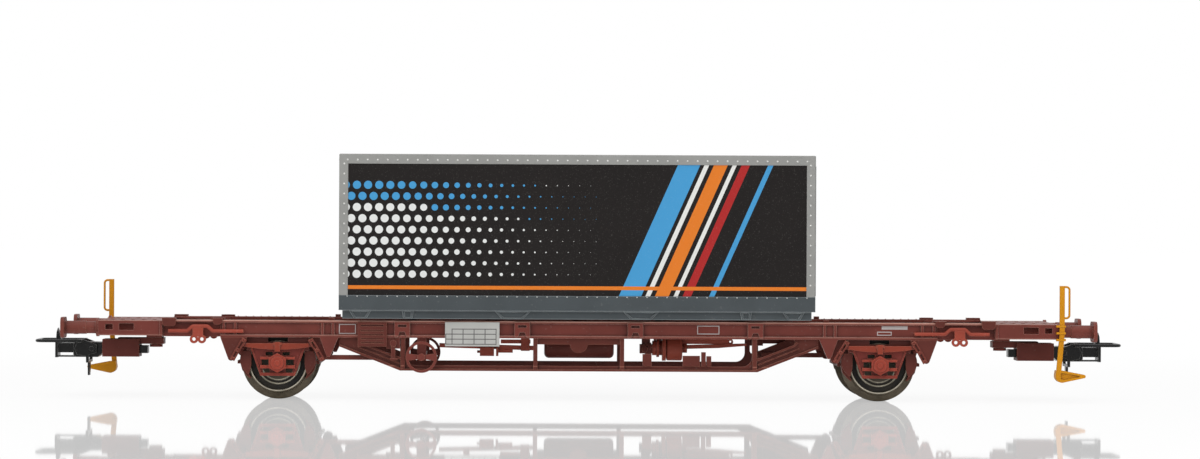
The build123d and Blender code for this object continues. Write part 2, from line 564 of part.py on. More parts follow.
def shunter_step():
    """Post with clamps, handrail loop and a foot with a round heel."""
    y0, y1 = -BOX_OUT - 0.8, -BOX_OUT - 0.3
    mid = (y0 + y1) / 2
    x, z = HEADSTOCK - 0.15, SILL_BOTTOM
    pieces = [block(x, x + 0.95, y0, y1, z + 1.2, z + 10.4),
              side_plate([(x - 0.6, z - 5.8), (x + 0.35, z - 5.8), (x + 0.95, z + 1.3), (x, z + 1.3)], y0, y1)]
    for low, high in ((-0.05, 0.4), (1.25, 1.65), (2.55, 2.95)):
        pieces.append(block(x - 0.6, x + 1.15, y0 - 0.15, -BOX_OUT, z + low, z + high))
    rail = bent_rod([(x + 0.5, mid, z + 10.2), (x + 1.85, mid, z + 10.2), (x + 1.85, mid, z + 4.3),
                     (x + 0.5, mid, z + 4.3)], 0.2, 0.6)
    heel = arc_points(x + 0.5, z - 6.65, 1.25, 170, 275, 7)
    foot = side_plate([(x - 0.6, z - 5.6)] + heel + [(x + 4.85, z - 6.97), (x + 4.97, z - 6.7),
                                                     (x + 4.85, z - 6.42), (x + 0.75, z - 5.65)], y0, y0 + 2.4)
    foot -= side_plate([(x + 0.25, z - 7.2), (x + 0.9, z - 7.35), (x + 3.8, z - 6.78), (x + 3.8, z - 6.58),
                        (x + 0.9, z - 6.1), (x + 0.25, z - 6.1)], y0 - 1, y0 + 0.35)
    foot -= block(x + 0.55, x + 4.4, y0 + 0.6, y0 + 1.9, z - 6.55, z - 5)
    return joined(pieces + [rail, foot])


def buffer():
    """Right far buffer."""
    x = HEADSTOCK
    tip = HALF_LENGTH - 0.65
    shank = [(0, x), (1.7, x), (1.7, x + 0.5), (1.15, x + 0.5), (1.15, x + 2.4), (1.25, x + 2.4), (1.25, tip), (0, tip)]
    face = Face(Wire.make_polygon([Vector(u, BUFFER_Y + r, BUFFER_Z) for r, u in shank]))
    body = revolve(face, Axis((0, BUFFER_Y, BUFFER_Z), (1, 0, 0)), 360)
    head = Pos(HALF_LENGTH - 0.325, BUFFER_Y, BUFFER_Z) * Box(0.65, 5.2, 3.9)
    head = fillet(head.edges().filter_by(Axis.X), 1.2)
    return body + head


# Deck fittings

Spigot = namedtuple("Spigot", "x size height flap")
SPIGOTS = (Spigot(BOX_HALF_X + 1.85, 1.0, 0.5, None), Spigot(SILL_END + 0.5, 2.6, 0.35, (0.9, 0.9)),
           Spigot(END_STEP - 1.3, 2.6, 0.35, (1.3, 1.2)))
FLAP_T = 0.4


def spigot_flap(x, side, s):
    """Bridge over the deck's edge and the flap that hangs from it."""
    half, drop = s.flap
    top = DECK_Z + s.height
    bridge = block(x - half, x + half, side * PAD_Y, side * (SILL_FACE + FLAP_T), DECK_Z, top)
    outline = [(x - half, top), (x - half, DECK_Z - drop + 0.4), (x - half + 0.4, DECK_Z - drop),
               (x + half - 0.4, DECK_Z - drop), (x + half, DECK_Z - drop + 0.4), (x + half, top)]
    y0, y1 = sorted((side * SILL_FACE, side * (SILL_FACE + FLAP_T)))
    return [bridge, side_plate(outline, y0, y1)]


def deck_spigots():
    """Folded spigots on the deck, and the four pads that carry the box."""
    solids = []
    for way in (-1, 1):
        for side in (-1, 1):
            for s in SPIGOTS:
                spigot = block(way * s.x - s.size / 2, way * s.x + s.size / 2, side * (PAD_Y - 0.6),
                               side * (PAD_Y + 0.6), DECK_Z, DECK_Z + s.height)
                if s.flap:
                    spigot = joined([spigot] + spigot_flap(way * s.x, side, s))
                solids.append(spigot)
            x = BOX_X + way * PAD_X
            pad = block(x - 1.2, x + 1.2, side * (PAD_Y - 0.8), side * (PAD_Y + 0.8), DECK_Z, BOX_BOTTOM)
            pin = Pos(x, side * PAD_Y, BOX_BOTTOM + 0.4) * Cylinder(PIN_R, 0.8)
            solids.append(pad + pin)
    return group(*solids)


# Couplings, right end

SHAFT_Z = (LOOP_PIVOT_Z - 0.9, LOOP_PIVOT_Z + 0.6)


def coupling_pocket():
    """Drawbar on the pivot with the pocket that holds the shaft."""
    z = SILL_BOTTOM
    bar = block(PIVOT_X - 1.6, HEADSTOCK - 2.6, -1.8, 1.8, z - 1.75, z - 0.55)
    box = block(HEADSTOCK - 6.75, HEADSTOCK + 0.3, -2.6, 2.6, LOOP_PIVOT_Z - 1.55, z - 0.85)
    hole = Pos(PIVOT_X, 0, z - 1.15) * Cylinder(PIVOT_R + FIT, 3)
    return joined([bar, box]) - block(PIVOT_X - 1.2, HEADSTOCK + 4, -1.4, 1.4, *SHAFT_Z) - hole


def coupling_head():
    """Shaft, head, hook plate and the two pins of the loop."""
    x, z = LOOP_PIVOT_X, LOOP_PIVOT_Z
    body = side_plate([(x - 1.9, z - 0.9), (x - 1.0, z - 1.65), (x + 3.1, z - 1.65), (x + 3.7, z - 1.2),
                       (x + 3.7, z + 0.9), (x + 3.2, z + 1.3), (x - 1.9, z + 1.2)], -2.3, 2.3)
    pieces = [block(HEADSTOCK - 8.3, x - 1.2, -1.4, 1.4, *SHAFT_Z), body,
              block(x + 3.5, x + 6.9, -1.0, 1.0, z - 0.85, z + 1.0),
              block(x + 2.6, x + 6.9, -0.8, 0.8, z - 1.7, z - 1.4),
              block(x + 6.7, x + 7.2, -2.1, 2.1, z - 1.75, z + 1.65),
              side_plate([(x + 6.2, z + 1.6), (x + 7.2, z + 1.6), (x + 7.1, z + 3.1), (x + 6.85, z + 3.9)], -0.9, 0.9),
              block(x + 6.2, x + 6.9, -0.9, 0.9, z + 0.8, z + 1.7),
              cross_rod(x, -3.4, 3.4, z, 0.5)]
    return joined(pieces)


def coupling_loop():
    """Lifting loop with its eyes, cross piece and hanging tongue."""
    x, z = LOOP_PIVOT_X, LOOP_PIVOT_Z
    y, tip = LOOP_HALF - LOOP_ROD, LOOP_TIP - LOOP_ROD
    bar_z = z + 1.5
    pieces = [bent_rod([(x + 2.0, -y, bar_z), (tip, -y, bar_z), (tip, y, bar_z), (x + 2.0, y, bar_z)], LOOP_ROD, 1.4)]
    for side in (-1, 1):
        y0, y1 = sorted((side * 2.5, side * 3.2))
        eye = side_plate([(x - 0.9, z - 0.8), (x + 0.6, z - 1.2), (x + 0.62, z - 2.7), (x + 1.14, z - 2.7),
                          (x + 1.16, z - 1.5), (x + 2.9, z - 1.2), (x + 3.4, z + 0.1), (x + 2.8, z + 1.2),
                          (x + 2.8, z + 1.8), (x + 1.8, z + 1.8), (x - 0.9, z + 0.8)], y0, y1)
        eye -= cross_rod(x, -6, 6, z, 0.5 + FIT)
        a0, a1 = sorted((side * 2.6, side * LOOP_HALF))
        pieces += [eye, block(x + 1.8, x + 2.8, a0, a1, z + 1.2, z + 1.8)]
    pieces.append(block(x + 0.62, x + 1.14, -3.2, 3.2, z - 2.7, z - 2.2))
    pieces.append(side_plate([(x + 0.64, z - 2.4), (x + 1.12, z - 2.4), (x + 1.08, z - 5.2), (x + 0.72, z - 5.2)], -0.8, 0.8))
    return joined(pieces)


# Wheelsets

def axle(x):
    """Axle with pin points."""
    half = [(0, -AXLE_TIP), (TIP_R, -AXLE_TIP), (AXLE_R, -CONE_START), (AXLE_R, CONE_START), (TIP_R, AXLE_TIP), (0, AXLE_TIP)]
    return turned(half, x, AXLE_Z)


def wheels(x):
    """Two flanged wheels with a rim, a raised ring, a step and a hub."""
    b, w, t = WHEEL_BACK, WHEEL_FACE, TREAD_R
    profile = [(AXLE_R, b), (FLANGE_R - 0.25, b), (FLANGE_R, b + 0.3), (FLANGE_R, b + 0.6),
               (t + 0.1, b + 1.05), (t - 0.1, w - 0.15), (t - 0.25, w), (t - 0.5, w), (t - 0.65, w - 0.9),
               (t - 1.5, w - 0.95), (t - 1.6, w - 0.55), (t - 1.85, w - 0.55), (t - 1.95, w - 0.8),
               (t - 2.25, w - 0.8), (t - 2.35, w - 0.45), (1.9, w - 0.35), (1.7, w), (AXLE_R, w)]
    one = turned(profile, x, AXLE_Z)
    return group(one, across(one))


# Container, drawn about its own middle

Pocket = namedtuple("Pocket", "place top low")
POCKETS = (Pocket(0.27, 3.4, 1.9), Pocket(0.71, 1.1, 0.8), Pocket(0.91, 2.1, 1.1))


def container_base():
    """Bottom rail, floor and the recessed band with its pockets."""
    inner_x, inner_y = BOX_HALF_X - WALL, BOX_HALF_Y - WALL
    rail = block(-BOX_HALF_X, BOX_HALF_X, -BOX_HALF_Y, BOX_HALF_Y, BAND_TOP, RAIL_TOP)
    rail -= block(-inner_x, inner_x, -inner_y, inner_y, BAND_TOP + 1.0, RAIL_TOP + 1)
    pieces = [rail]
    band_x, band_y = BOX_HALF_X - 0.65, BOX_HALF_Y - 0.9
    for side in (-1, 1):
        pieces.append(block(-band_x, band_x, side * (PAD_Y - 2.2), side * band_y, BOX_BOTTOM, BAND_TOP))
        y0, y1 = sorted((side * (band_y - 0.05), side * (band_y + 0.3)))
        for way in (-1, 1):
            for p in POCKETS:
                x = way * p.place * BOX_HALF_X
                rim = side_plate([(x - p.top, BAND_TOP), (x + p.top, BAND_TOP), (x + p.low, BOX_BOTTOM),
                                  (x - p.low, BOX_BOTTOM)], y0, y1)
                dip = side_plate([(x - p.top + 0.5, BAND_TOP - 0.25), (x + p.top - 0.5, BAND_TOP - 0.25),
                                  (x + p.low - 0.25, BOX_BOTTOM + 0.25), (x - p.low + 0.25, BOX_BOTTOM + 0.25)],
                                 side * (band_y + 0.1), side * (band_y + 1))
                pieces.append(rim - dip)
    for way in (-1, 1):
        x = way * (BOX_HALF_X - 1.65)
        pieces.append(block(x - 1.0, x + 1.0, -PAD_Y + 2.1, PAD_Y - 2.1, BOX_BOTTOM, BAND_TOP))
    base = joined(pieces)
    for way in (-1, 1):
        for side in (-1, 1):
            base -= Pos(way * PAD_X, side * PAD_Y, BOX_BOTTOM + 0.4) * Cylinder(PIN_R + FIT, 1.1)
    return base


def container_frame():
    """Corner posts and the ring of top rails, with broken outer edges."""
    shell = block(-BOX_HALF_X, BOX_HALF_X, -BOX_HALF_Y, BOX_HALF_Y, RAIL_TOP, BOX_TOP)
    rims = shell.edges().filter_by(Axis.Z) + shell.faces().sort_by(Axis.Z)[-1].edges()
    shell = chamfer(rims, 0.15)
    x, y, out = BOX_HALF_X - POST, BOX_HALF_Y - POST, BOX_HALF_X + 1
    shell -= block(-x, x, -y, y, RAIL_TOP - 1, BOX_TOP + 1)
    shell -= block(-x, x, -out, out, RAIL_TOP - 1, PANEL_TOP)
    shell -= block(-out, out, -y, y, RAIL_TOP - 1, PANEL_TOP)
    return shell


def container_side():
    """Far side panel, a little behind the frame."""
    x = BOX_HALF_X - POST
    return block(-x, x, BOX_HALF_Y - WALL, BOX_HALF_Y - 0.15, RAIL_TOP, PANEL_TOP)


def container_front():
    """Plain wall of the left end with upright beads."""
    y = BOX_HALF_Y - POST
    wall = block(-BOX_HALF_X + 0.35, -BOX_HALF_X + WALL, -y, y, RAIL_TOP, PANEL_TOP)
    for share in (-0.75, -0.45, -0.15, 0.15, 0.45, 0.75):
        wall += block(-BOX_HALF_X + 0.2, -BOX_HALF_X + 0.5, share * y - 0.5, share * y + 0.5, RAIL_TOP + 1, PANEL_TOP - 1)
    return wall


def container_door():
    """Far leaf of the double door at the right end."""
    y, x = BOX_HALF_Y - POST, BOX_HALF_X
    mid = (RAIL_TOP + PANEL_TOP) / 2
    leaf = block(x - WALL, x - 0.2, 0.1, y, RAIL_TOP, PANEL_TOP)
    for low, high in ((RAIL_TOP + 0.8, mid - 0.5), (mid + 0.5, PANEL_TOP - 0.8)):
        leaf -= block(x - 0.4, x, 0.9, y - 0.8, low, high)
    return leaf


def lock_bars():
    """Four lock bars with their keepers and handles."""
    solids = []
    x = BOX_HALF_X - 0.2
    mid = (RAIL_TOP + PANEL_TOP) / 2
    grip = RAIL_TOP + 0.285 * PANEL_T
    for share in (-0.655, -0.232, 0.232, 0.655):
        y = share * BOX_HALF_Y
        pieces = [Pos(x + 0.35, y, mid) * Cylinder(0.3, PANEL_T - 0.2)]
        for z in (RAIL_TOP + 0.4, mid, PANEL_TOP - 0.4):
            pieces.append(block(x, x + 0.6, y - 0.5, y + 0.5, z - 0.3, z + 0.3))
        inward = -1 if y > 0 else 1
        y0, y1 = sorted((y, y + inward * 2.4))
        pieces.append(block(x + 0.25, x + 0.6, y0, y1, grip, grip + 0.4))
        solids.append(joined(pieces))
    return group(*solids)


def container_roof():
    """Roof plate inside the top rails with shallow cross ribs."""
    x, y = BOX_HALF_X - POST, BOX_HALF_Y - POST
    roof = block(-x, x, -y, y, BOX_TOP - 1.2, BOX_TOP - 0.3)
    for i in range(9):
        c = 0.2 * BOX_HALF_X * (i - 4)
        roof += block(c - 0.6, c + 0.6, -y + 1.0, y - 1.0, BOX_TOP - 0.4, BOX_TOP)
    return roof


def container_nodes():
    """The container's nodes, placed on the deck."""
    side, door = container_side(), container_door()
    nodes = {"container_base": container_base(), "container_frame": container_frame(),
             "container_side_far": side, "container_side_near": across(side),
             "container_front": container_front(), "container_door_far": door,
             "container_door_near": across(door), "lock_bars": lock_bars(), "container_roof": container_roof()}
    return {name: group(*[Pos(BOX_X, 0, 0) * s for s in shape.solids()]) for name, shape in nodes.items()}


def build_nodes():
    """All nodes by name."""
    nodes = {}
    sill = side_sill()
    nodes["side_sill_far"], nodes["side_sill_near"] = sill, across(sill)
    nodes["cross_frame"] = cross_frame()
    end = end_frame()
    nodes["end_frame_right"], nodes["end_frame_left"] = end, other_end(end)
    far_truss = truss()
    nodes["truss_far"], nodes["truss_near"] = far_truss, other_end(far_truss)
    for name, x in (("left", -HALF_WHEELBASE), ("right", HALF_WHEELBASE)):
        guard, spring = axle_guard(x), leaf_spring(x)
        nodes[f"axle_guard_{name}_far"] = guard
        nodes[f"axle_guard_{name}_near"] = across(guard)
        nodes[f"leaf_springs_{name}"] = group(spring, across(spring))
        nodes[f"brake_shoes_{name}"] = brake_shoes(x)
        nodes[f"axle_{name}"] = axle(x)
        nodes[f"wheels_{name}"] = wheels(x)
    nodes["air_tank"] = air_tank()
    nodes["brake_cylinder"] = group(brake_cylinder(), brake_rigging())
    nodes["valve_block"] = valve_block()
    nodes["load_valve"] = load_valve()
    nodes["handbrake"] = handbrake()
    board, panel, lever = load_board(), label_panel(), change_lever()
    nodes["load_boards"] = group(board, other_end(board))
    nodes["label_panels"] = group(panel, other_end(panel))
    nodes["change_levers"] = group(lever, other_end(lever))
    bar = end_bar()
    nodes["end_bars_right"] = group(bar, across(bar))
    nodes["end_bars_left"] = group(other_end(bar), other_end(across(bar)))
    step = shunter_step()
    nodes["shunter_step_right"], nodes["shunter_step_left"] = step, other_end(step)
    buf = buffer()
    nodes["buffer_right_far"], nodes["buffer_right_near"] = buf, across(buf)
    nodes["buffer_left_near"], nodes["buffer_left_far"] = other_end(buf), other_end(across(buf))
    nodes["deck_spigots"] = deck_spigots()
    for make, name in ((coupling_pocket, "coupling_pocket"), (coupling_head, "coupling_head"),
                       (coupling_loop, "coupling_loop")):
        shape = make()
        nodes[f"{name}_right"], nodes[f"{name}_left"] = shape, other_end(shape)
    nodes.update(container_nodes())
    return nodes


os.makedirs("parts", exist_ok=True)
for node, shape in build_nodes().items():
    export_step(shape, f"parts/{node}.step")
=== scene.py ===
"""Looks of a model railway container flat wagon with a swap body on its deck.

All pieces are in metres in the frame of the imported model: X along the wagon,
Y across it away from the camera, Z up, with the floor at zero. Sizes in the
classes are in millimetres, apart from those whose names end in _m.
"""
from __future__ import annotations

import logging
import math
from dataclasses import dataclass
from enum import Enum
from typing import Any, ClassVar, Iterable, Optional, Sequence, Union

import bmesh
import bpy
from mathutils import Matrix, Vector


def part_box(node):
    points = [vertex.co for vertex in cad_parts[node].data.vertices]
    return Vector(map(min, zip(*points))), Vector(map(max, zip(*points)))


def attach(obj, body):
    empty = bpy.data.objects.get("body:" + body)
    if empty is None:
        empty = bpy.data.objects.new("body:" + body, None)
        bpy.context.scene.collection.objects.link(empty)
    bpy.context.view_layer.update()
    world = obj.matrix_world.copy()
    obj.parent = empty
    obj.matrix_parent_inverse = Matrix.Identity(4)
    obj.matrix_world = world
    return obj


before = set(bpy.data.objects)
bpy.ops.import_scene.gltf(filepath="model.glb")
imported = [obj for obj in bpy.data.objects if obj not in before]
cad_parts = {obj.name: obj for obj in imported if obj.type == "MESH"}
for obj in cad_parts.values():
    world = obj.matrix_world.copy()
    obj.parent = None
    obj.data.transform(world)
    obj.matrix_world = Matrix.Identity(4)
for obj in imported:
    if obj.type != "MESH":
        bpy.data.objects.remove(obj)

LOG = logging.getLogger("wagon")
MM = 0.001
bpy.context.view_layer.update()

Pair = tuple[float, float]
Triple = tuple[float, float, float]
Sign = tuple[float, float, float, float]
Screen = tuple[int, int, int]
Band = tuple[float, float, Screen]
Colour = tuple[float, float, float, float]
Inputs = tuple[tuple[str, str], ...]
Socket = bpy.types.NodeSocket
Material = bpy.types.Material
Mesh = bpy.types.Mesh
Piece = bpy.types.Object

WHITE: Colour = (1.0, 1.0, 1.0, 1.0)
ENDS = (("left", -1), ("right", 1))
SIDES = ("near", "far")


def linear(rgb: Sequence[int], gain: float = 1.0) -> Colour:
    """Turn a screen colour into the linear colour that shaders take.

    Args:
        rgb: Red, green and blue from 0 to 255.
        gain: Factor on the linear colour.

    Returns:
        Linear red, green, blue and an alpha of 1.
    """
    out = []
    for part in rgb:
        c = part / 255.0
        c = c / 12.92 if c <= 0.04045 else ((c + 0.055) / 1.055) ** 2.4
        out.append(min(1.0, c * gain))
    return (out[0], out[1], out[2], 1.0)


def add_piece(name: str, mesh: Mesh, material: Material) -> Piece:
    """Put a finished mesh into the scene, at the origin.

    Args:
        name: Name of the piece.
        mesh: Its mesh.
        material: Its finish.

    Returns:
        The piece.
    """
    mesh.materials.append(material)
    piece = bpy.data.objects.new(name, mesh)
    bpy.context.collection.objects.link(piece)
    return piece


class Value:
    """A number socket of a node tree, with Python's arithmetic."""

    def __init__(self, graph: "Graph", socket: Socket) -> None:
        """Keep the socket and the tree that it belongs to."""
        self.graph = graph
        self.socket = socket

    def _math(self, operation: str, *others: Any, swap: bool = False) -> "Value":
        """Add one Math node.

        Args:
            operation: Name of the Math node's operation.
            others: Further numbers or sockets.
            swap: Put the first other value before this one.

        Returns:
            The result as a new value.
        """
        parts: list[Any] = [self, *others]
        if swap:
            parts[0], parts[1] = parts[1], parts[0]
        node = self.graph.add("ShaderNodeMath", {"operation": operation}, dict(enumerate(parts)))
        return Value(self.graph, node.outputs[0])

    def __add__(self, other: Any) -> "Value":
        """Sum."""
        return self._math("ADD", other)

    __radd__ = __add__

    def __sub__(self, other: Any) -> "Value":
        """Difference."""
        return self._math("SUBTRACT", other)

    def __rsub__(self, other: Any) -> "Value":
        """Difference from a plain number."""
        return self._math("SUBTRACT", other, swap=True)

    def __mul__(self, other: Any) -> "Value":
        """Product."""
        return self._math("MULTIPLY", other)

    __rmul__ = __mul__

    def __truediv__(self, other: Any) -> "Value":
        """Quotient."""
        return self._math("DIVIDE", other)

    def __rtruediv__(self, other: Any) -> "Value":
        """Quotient of a plain number by this value."""
        return self._math("DIVIDE", other, swap=True)

    def __lt__(self, other: Any) -> "Value":
        """One where this value is below the other."""
        return self._math("LESS_THAN", other)

    def __gt__(self, other: Any) -> "Value":
        """One where this value is above the other."""
        return self._math("GREATER_THAN", other)

    def __abs__(self) -> "Value":
        """Size without its sign."""
        return self._math("ABSOLUTE")

    def root(self) -> "Value":
        """Square root."""
        return self._math("SQRT")

    def wave(self) -> "Value":
        """Sine."""
        return self._math("SINE")

    def nearest(self) -> "Value":
        """Nearest whole number."""
        return self._math("ROUND")

    def high(self, other: Any) -> "Value":
        """Larger of two values."""
        return self._math("MAXIMUM", other)

    def between(self, low: float, high: float) -> "Value":
        """One between two limits, else zero."""
        return (self > low) * (self < high)

    def ramp(self, start: float, end: float) -> "Value":
        """Rise smoothly from 0 at start to 1 at end.

        Args:
            start: Value that gives 0.
            end: Value that gives 1.

        Returns:
            A value from 0 to 1.
        """
        node = self.graph.add("ShaderNodeMapRange", {"interpolation_type": "SMOOTHSTEP"},
                              {0: self, 1: start, 2: end, 3: 0.0, 4: 1.0})
        return Value(self.graph, node.outputs[0])


class Graph:
    """A node tree with one method that adds nodes."""

    def __init__(self, tree: bpy.types.NodeTree) -> None:
        """Take an empty node tree."""
        self.tree = tree

    def add(self, kind: str, settings: Optional[dict[str, Any]] = None,
            sockets: Optional[dict[Union[str, int], Any]] = None) -> bpy.types.Node:
        """Add one node.

        Args:
            kind: Node type.
            settings: Node settings, which are set first.
            sockets: Values or links of its input sockets, by name or number.

        Returns:
            The node.
        """
        node = self.tree.nodes.new(kind)
        for key, value in (settings or {}).items():
            setattr(node, key, value)
        for key, value in (sockets or {}).items():
            self.set(node.inputs[key], value)
        return node

    def set(self, socket: Socket, value: Any) -> None:
        """Link a value to a socket, or write a plain number or colour there.

        Args:
            socket: Input socket.
            value: A Value, an output socket or plain numbers.
        """
        if isinstance(value, Value):
            self.tree.links.new(value.socket, socket)
        elif isinstance(value, Socket):
            self.tree.links.new(value, socket)
        else:
            socket.default_value = value

    def seen_ray(self) -> Value:
        """Tell the rays that the camera, a gloss or a clear pane sends out.

        Returns:
            One for such a ray, else zero.
        """
        path = self.add("ShaderNodeLightPath").outputs
        kinds = ("Camera", "Glossy", "Transmission")
        camera, gloss, clear = (Value(self, path[f"Is {kind} Ray"]) for kind in kinds)
        return camera.high(gloss).high(clear)


class Shader(Graph):
    """A material's node tree around one surface shader.

    Attributes:
        samples: Number of rays that look for an edge or a hollow.
        edge_rise: Turn of the normal at which an edge begins and is full.
        hollow_rise: Shade at which a hollow begins and is full.
    """

    samples: ClassVar[int] = 6
    edge_rise: ClassVar[Pair] = (0.01, 0.22)
    hollow_rise: ClassVar[Pair] = (0.14, 0.72)

    def __init__(self, name: str) -> None:
        """Start a material with only its shader and its output.

        Args:
            name: Name of the material.
        """
        self.material = bpy.data.materials.new(name)
        self.material.use_nodes = True
        super().__init__(self.material.node_tree)
        self.tree.nodes.clear()
        self.surface = self.add("ShaderNodeBsdfPrincipled")
        self.out = self.add("ShaderNodeOutputMaterial", None, {0: self.surface.outputs[0]})
        self._place: Optional[Socket] = None

    def feed(self, **values: Any) -> None:
        """Set the surface's sockets, named with underscores for spaces."""
        for key, value in values.items():
            self.set(self.surface.inputs[key.replace("_", " ")], value)

    def place(self) -> Socket:
        """Give the Object coordinates, in metres.

        Returns:
            Their socket.
        """
        if self._place is None:
            self._place = self.add("ShaderNodeTexCoord").outputs["Object"]
        return self._place

    def axes(self) -> tuple[Value, Value, Value]:
        """Give the Object coordinates as three values.

        Returns:
            Places along, across and up, in millimetres.
        """
        node = self.add("ShaderNodeSeparateXYZ", None, {0: self.place()})
        x, y, z = (Value(self, s) * (1.0 / MM) for s in node.outputs)
        return x, y, z

    def noise(self, size_mm: float, detail: float = 2.0, roughness: float = 0.5) -> Value:
        """Soft noise with spots of about a given size.

        Args:
            size_mm: Size of its spots.
            detail: Number of finer layers.
            roughness: Strength of the finer layers.

        Returns:
            A value around one half.
        """
        node = self.add("ShaderNodeTexNoise", {"noise_dimensions": "3D"},
                        {"Vector": self.place(), "Scale": 1.0 / (size_mm * MM),
                         "Detail": detail, "Roughness": roughness})
        return Value(self, node.outputs["Fac"])

    def mix(self, amount: Any, first: Any, second: Any) -> Socket:
        """Mix two colours.

        Args:
            amount: Share of the second colour.
            first: Colour or socket.
            second: Colour or socket.

        Returns:
            The mixed colour's socket.
        """
        node = self.add("ShaderNodeMix", {"data_type": "RGBA"}, {0: amount, 6: first, 7: second})
        return node.outputs[2]

    def edge(self, radius_mm: float) -> tuple[Value, Socket]:
        """Find the edges of a shape.

        Args:
            radius_mm: Width of the rounding along an edge.

        Returns:
            A value that rises along edges, and the rounded normal.
        """
        round_off = self.add("ShaderNodeBevel", {"samples": self.samples},
                             {"Radius": radius_mm * MM}).outputs[0]
        flat = self.add("ShaderNodeNewGeometry").outputs["Normal"]
        turn = self.add("ShaderNodeVectorMath", {"operation": "DOT_PRODUCT"}, {0: round_off, 1: flat})
        return (1.0 - Value(self, turn.outputs["Value"])).ramp(*self.edge_rise), round_off

    def corner(self, reach_mm: float) -> Value:
        """Rise in the corners and hollows of a shape.

        Args:
            reach_mm: Reach of the shade.

        Returns:
            A value from 0 in the open to 1 in a hollow.
        """
        # Ambient occlusion; the finishes use it to paint shade into their colour.
        settings = {"samples": self.samples, "only_local": True}
        node = self.add("ShaderNodeAmbientOcclusion", settings, {"Distance": reach_mm * MM})
        return (1.0 - Value(self, node.outputs["AO"])).ramp(*self.hollow_rise)

    def bump(self, height: Value, depth_mm: float, normal: Optional[Socket] = None) -> Socket:
        """Normal of a small relief.

        Args:
            height: Relief from 0 to 1.
            depth_mm: Height that 1 stands for.
            normal: Normal under the relief.

        Returns:
            The normal's socket.
        """
        sockets: dict[Union[str, int], Any] = {"Distance": depth_mm * MM, "Height": height}
        if normal is not None:
            sockets["Normal"] = normal
        return self.add("ShaderNodeBump", None, sockets).outputs[0]


@dataclass(frozen=True)
class Moulded:
    """Satin moulded or sprayed plastic with pale edges (partly wear, partly painted highlight), painted
    shade in corners, a fine grain and dust.

    Attributes:
        name: Name of the finish.
        rgb: Screen colour.
        rough: Roughness.
        wear_and_highlight: Share of paler colour along edges, partly wear and partly painted highlight.
        rub_and_highlight: Screen colour along edges, of wear and painted highlight.
        edge_mm: Width of the rounding along edges.
        corner_shade: Share of painted shade in corners.
        grain_mm: Size of the fine grain.
        grain_depth_mm: Depth of the grain.
        cloud: Share of slow colour change.
        dust: Share of pale dust in spots.
        coat: Weight of a thin clear layer.
        shine: Level of the mirror-like part of its gloss.
        cloud_mm: Size of the slow colour change.
        patch_mm: Size of the patches in which edges are paler.
        speck_mm: Size of the dust's spots.
        hollow_mm: Reach of the painted shade in corners.
        tones: Factors on the colour in dark clouds, pale clouds and painted corner shade.
        dust_rgb: Screen colour of the dust.
    """

    name: str
    rgb: Screen
    rough: float = 0.45
    wear_and_highlight: float = 0.6
    rub_and_highlight: Screen = (184, 124, 104)
    edge_mm: float = 0.2
    corner_shade: float = 0.75
    grain_mm: float = 0.16
    grain_depth_mm: float = 0.006
    cloud: float = 0.3
    dust: float = 0.05
    coat: float = 0.0
    shine: float = 0.2
    cloud_mm: ClassVar[float] = 6.0
    patch_mm: ClassVar[float] = 1.6
    speck_mm: ClassVar[float] = 0.5
    hollow_mm: ClassVar[float] = 1.3
    tones: ClassVar[Triple] = (0.55, 1.5, 0.2)
    dust_rgb: ClassVar[Screen] = (206, 200, 190)

    def base(self, s: Shader) -> Any:
        """Give the colour under painted corner shade, worn and highlit edges, and dust.

        Args:
            s: The material in making.

        Returns:
            A colour or a colour socket.
        """
        return linear(self.rgb)

    def material(self) -> Material:
        """Build the material.

        Returns:
            The new material.
        """
        s = Shader(self.name)
        slow = s.noise(self.cloud_mm, 3.0).ramp(0.32, 0.68)
        fine = s.noise(self.grain_mm, 2.0, 0.6)
        # The last of these is the painted shade colour for corners.
        deep, pale, shade_tone = (linear(self.rgb, gain) for gain in self.tones)
        tone = s.mix(slow * self.cloud, self.base(s), deep)
        tone = s.mix((1 - slow) * (0.4 * self.cloud), tone, pale)
        edge, rounded = s.edge(self.edge_mm)
        patchy = s.noise(self.patch_mm, 2.0).ramp(0.1, 0.55)
        # Painted shade: ambient occlusion darkens the colour in corners and hollows.
        tone = s.mix(s.corner(self.hollow_mm) * self.corner_shade, tone, shade_tone)
        # Paler edges: partly wear, partly a painted highlight along edges.
        tone = s.mix(edge * patchy * self.wear_and_highlight, tone, linear(self.rub_and_highlight))
        specks = s.noise(self.speck_mm, 1.0).ramp(0.66, 0.78)
        tone = s.mix(specks * self.dust, tone, linear(self.dust_rgb))
        s.feed(Base_Color=tone, Roughness=(slow - 0.5) * 0.1 + (fine - 0.5) * 0.12 + self.rough,
               Coat_Weight=self.coat, Specular_IOR_Level=self.shine,
               Normal=s.bump(fine, self.grain_depth_mm, rounded))
        return s.material


class Way(Enum):
    """Axis that a two-tone finish is measured along."""

    ALONG = 0
    ACROSS = 1


@dataclass(frozen=True)
class TwoTone(Moulded):
    """Moulded plastic whose colour changes at a distance from a middle.

    Attributes:
        other: Screen colour beyond that distance.
        way: Axis of the distance.
        middle_mm: Middle on that axis.
        start_mm: Distance at which the other colour begins.
        blend_mm: Width of the change.
    """

    other: Screen = (150, 66, 52)
    way: Way = Way.ACROSS
    middle_mm: float = 0.0
    start_mm: float = 11.8
    blend_mm: float = 0.35

    def base(self, s: Shader) -> Any:
        """Give the colour under painted corner shade, worn and highlit edges, and dust.

        Args:
            s: The material in making.

        Returns:
            A colour socket.
        """
        reach = abs(s.axes()[self.way.value] - self.middle_mm)
        share = reach.ramp(self.start_mm, self.start_mm + self.blend_mm)
        return s.mix(share, linear(self.rgb), linear(self.other))


